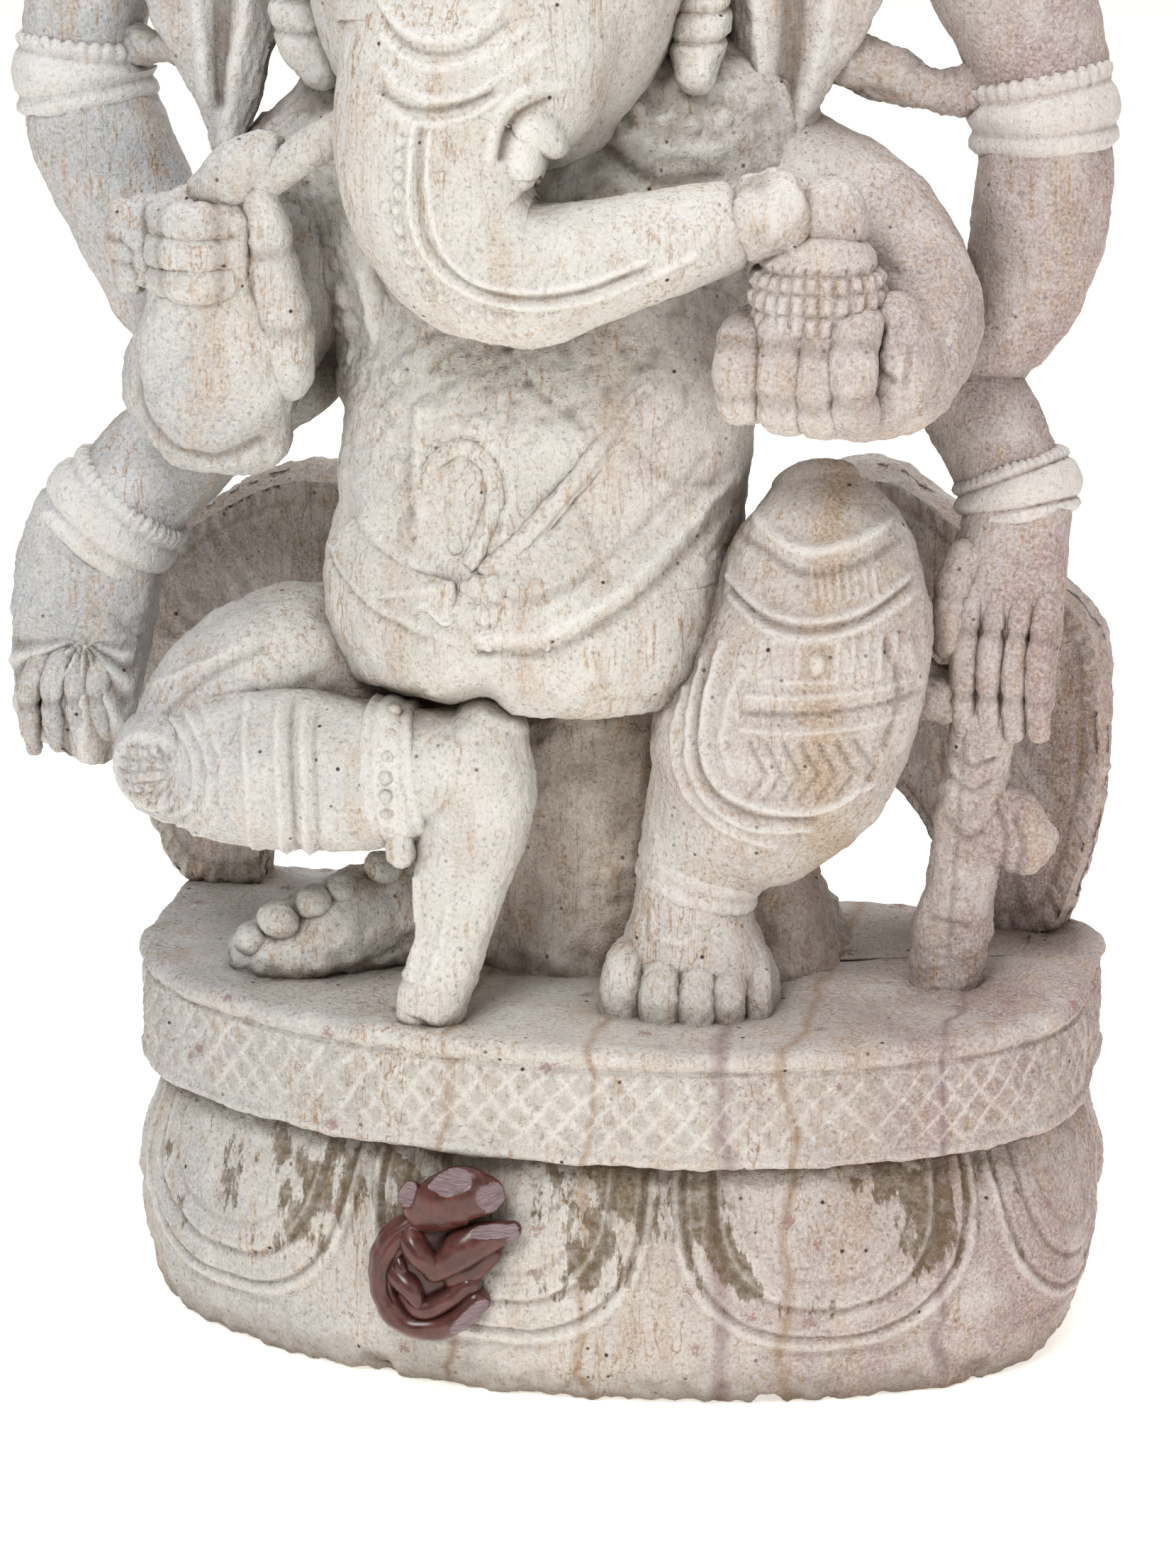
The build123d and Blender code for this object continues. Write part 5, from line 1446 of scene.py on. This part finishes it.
mouseArm = [
    mouseLump([(-2.4, 2.6, 3.9, 1.6, 1.5), (-0.8, 3.8, 2.4, 1.5, 1.6), (0.9, 3.8, 0.7, 1.3, 1.4)]),
    mouseLump(
        [(0.7, 3.6, 0.5, 1.3, 1.4), (2.4, 3.6, 1.8, 1.6, 1.6), (4.4, 3.2, 3.4, 2.1, 1.8),
         (6.6, 2.9, 4.4, 1.6, 1.5), (8.6, 2.6, 5, 1.0, 1.2)],
        [((5.6, 4.5, 4.4), (0.15, -0.8, 0.58)), ((6.2, 4.0, 2.2), (0.6, -0.6, -0.52))]
    ), mouseLump([(2.6, 2.2, -0.6, 1.8, 1.7), (4.4, 2.2, 0.6, 1.6, 1.6), (6.2, 2.0, 2, 1.2, 1.2)])
]
mouseHead = [
    mouseLump(
        [(-0.6, 2.2, 6.2, 2.4, 2.2), (1.6, 2.8, 7.6, 3, 2.6), (4.0, 2.8, 8.6, 2.9, 2.6),
         (5.6, 2.4, 8.4, 2.2, 2.2)],
        [((1.6, 4.9, 9.4), (-0.2, -0.66, 0.72)), ((5.9, 4.4, 8.2), (0.75, -0.62, 0.1))]
    ),
    mouseLump([(-2.0, 2.6, 6.9, 0.9, 0.9), (-2.2, 2.9, 7.9, 0.95, 1.0), (-1.9, 2.6, 8.6, 0.7, 0.8)],
              [((-2.2, 3.5, 8.0), (-0.2, -0.8, 0.4))])
]
for name, grids in (("mouse_body", mouseBody), ("mouse_head", mouseHead), ("mouse_paw", mouseArm)):
    stonePiece(name, grids, [name], maroonStone)
glueGrid = carve(
    tube(
        [(mx - 0.4, my - 0.4, mz - 4.6, 2.6, 0.9), (mx - 0.6, my - 0.5, mz, 3.6, 1.1),
         (mx + 1.4, my - 0.4, mz + 5.4, 2.2, 0.9)], 0.35
    ), None, 0.35, 0.0
)
stonePiece("glue_bed", [glueGrid], ["glue_bed"], glue)
print("mouse, offering and ornaments carved")

# the floor is one pale matt sheet of paper, 6 m wide
floor = bpy.data.meshes.new("floor")
floor.from_pydata([(-3, -3, 0), (3, -3, 0), (3, 3, 0), (-3, 3, 0)], [], [(0, 1, 2, 3)])
floorObject = bpy.data.objects.new("floor", floor)
bpy.context.scene.collection.objects.link(floorObject)
backdrop = {"Base Color": hexColour("#f7f4ee"), "Emission Color": hexColour("#fffbf4"),
            "Emission Strength": 0.62, "Roughness": 0.9}
paper = bpy.data.materials.new("paleBackdropPaper")
paper.use_nodes = True
for socket, value in backdrop.items():
    paper.node_tree.nodes["Principled BSDF"].inputs[socket].default_value = value
floor.materials.append(paper)

camera = {"azimuth": 11.0, "above": 18.0, "distance": 600.0, "aim": (-2.2, -0.4, 58.6), "lens": 131.8}


def placeCamera():
    # the camera stands back from its aim along the azimuth and height angles
    a, e = math.radians(camera["azimuth"]), math.radians(camera["above"])
    back = np.array([math.sin(a) * math.cos(e), -math.cos(a) * math.cos(e), math.sin(e)])
    data = bpy.data.cameras.new("camera")
    data.lens = camera["lens"]
    data.clip_end = 20
    eye = bpy.data.objects.new("camera", data)
    bpy.context.scene.collection.objects.link(eye)
    eye.location = (np.array(camera["aim"]) + back * camera["distance"]) * mm
    eye.rotation_euler = (math.pi / 2 - e, 0, a)
    bpy.context.scene.camera = eye


lights = [  # name, place and size in millimetres, power in watts
    ("key", (-90, -500, 600), 260, 3.0),
    ("fill", (480, -380, 260), 520, 0.7),
    ("top", (0, 60, 700), 420, 2.6),
    ("back", (200, 500, 420), 400, 1.0),
]


def placeLights():
    # square soft lamps turned to face the figure's middle, and a pale world
    for name, at, size, power in lights:
        data = bpy.data.lights.new(name, "AREA")
        data.size = size * mm
        data.energy = power
        lamp = bpy.data.objects.new(name, data)
        bpy.context.scene.collection.objects.link(lamp)
        place = np.array(at) * mm
        lamp.location = place
        toward = np.array([0, 0, 0.09]) - place
        flat = math.hypot(toward[0], toward[1])
        lamp.rotation_euler = (math.atan2(flat, -toward[2]), 0, math.atan2(-toward[0], toward[1]))
    world = bpy.data.worlds.new("studio")
    world.use_nodes = True
    world.node_tree.nodes["Background"].inputs[0].default_value = hexColour("#fdfbf7")
    world.node_tree.nodes["Background"].inputs[1].default_value = 0.30
    bpy.context.scene.world = world


placeCamera()
placeLights()
bpy.context.scene.view_settings.view_transform = "Standard"
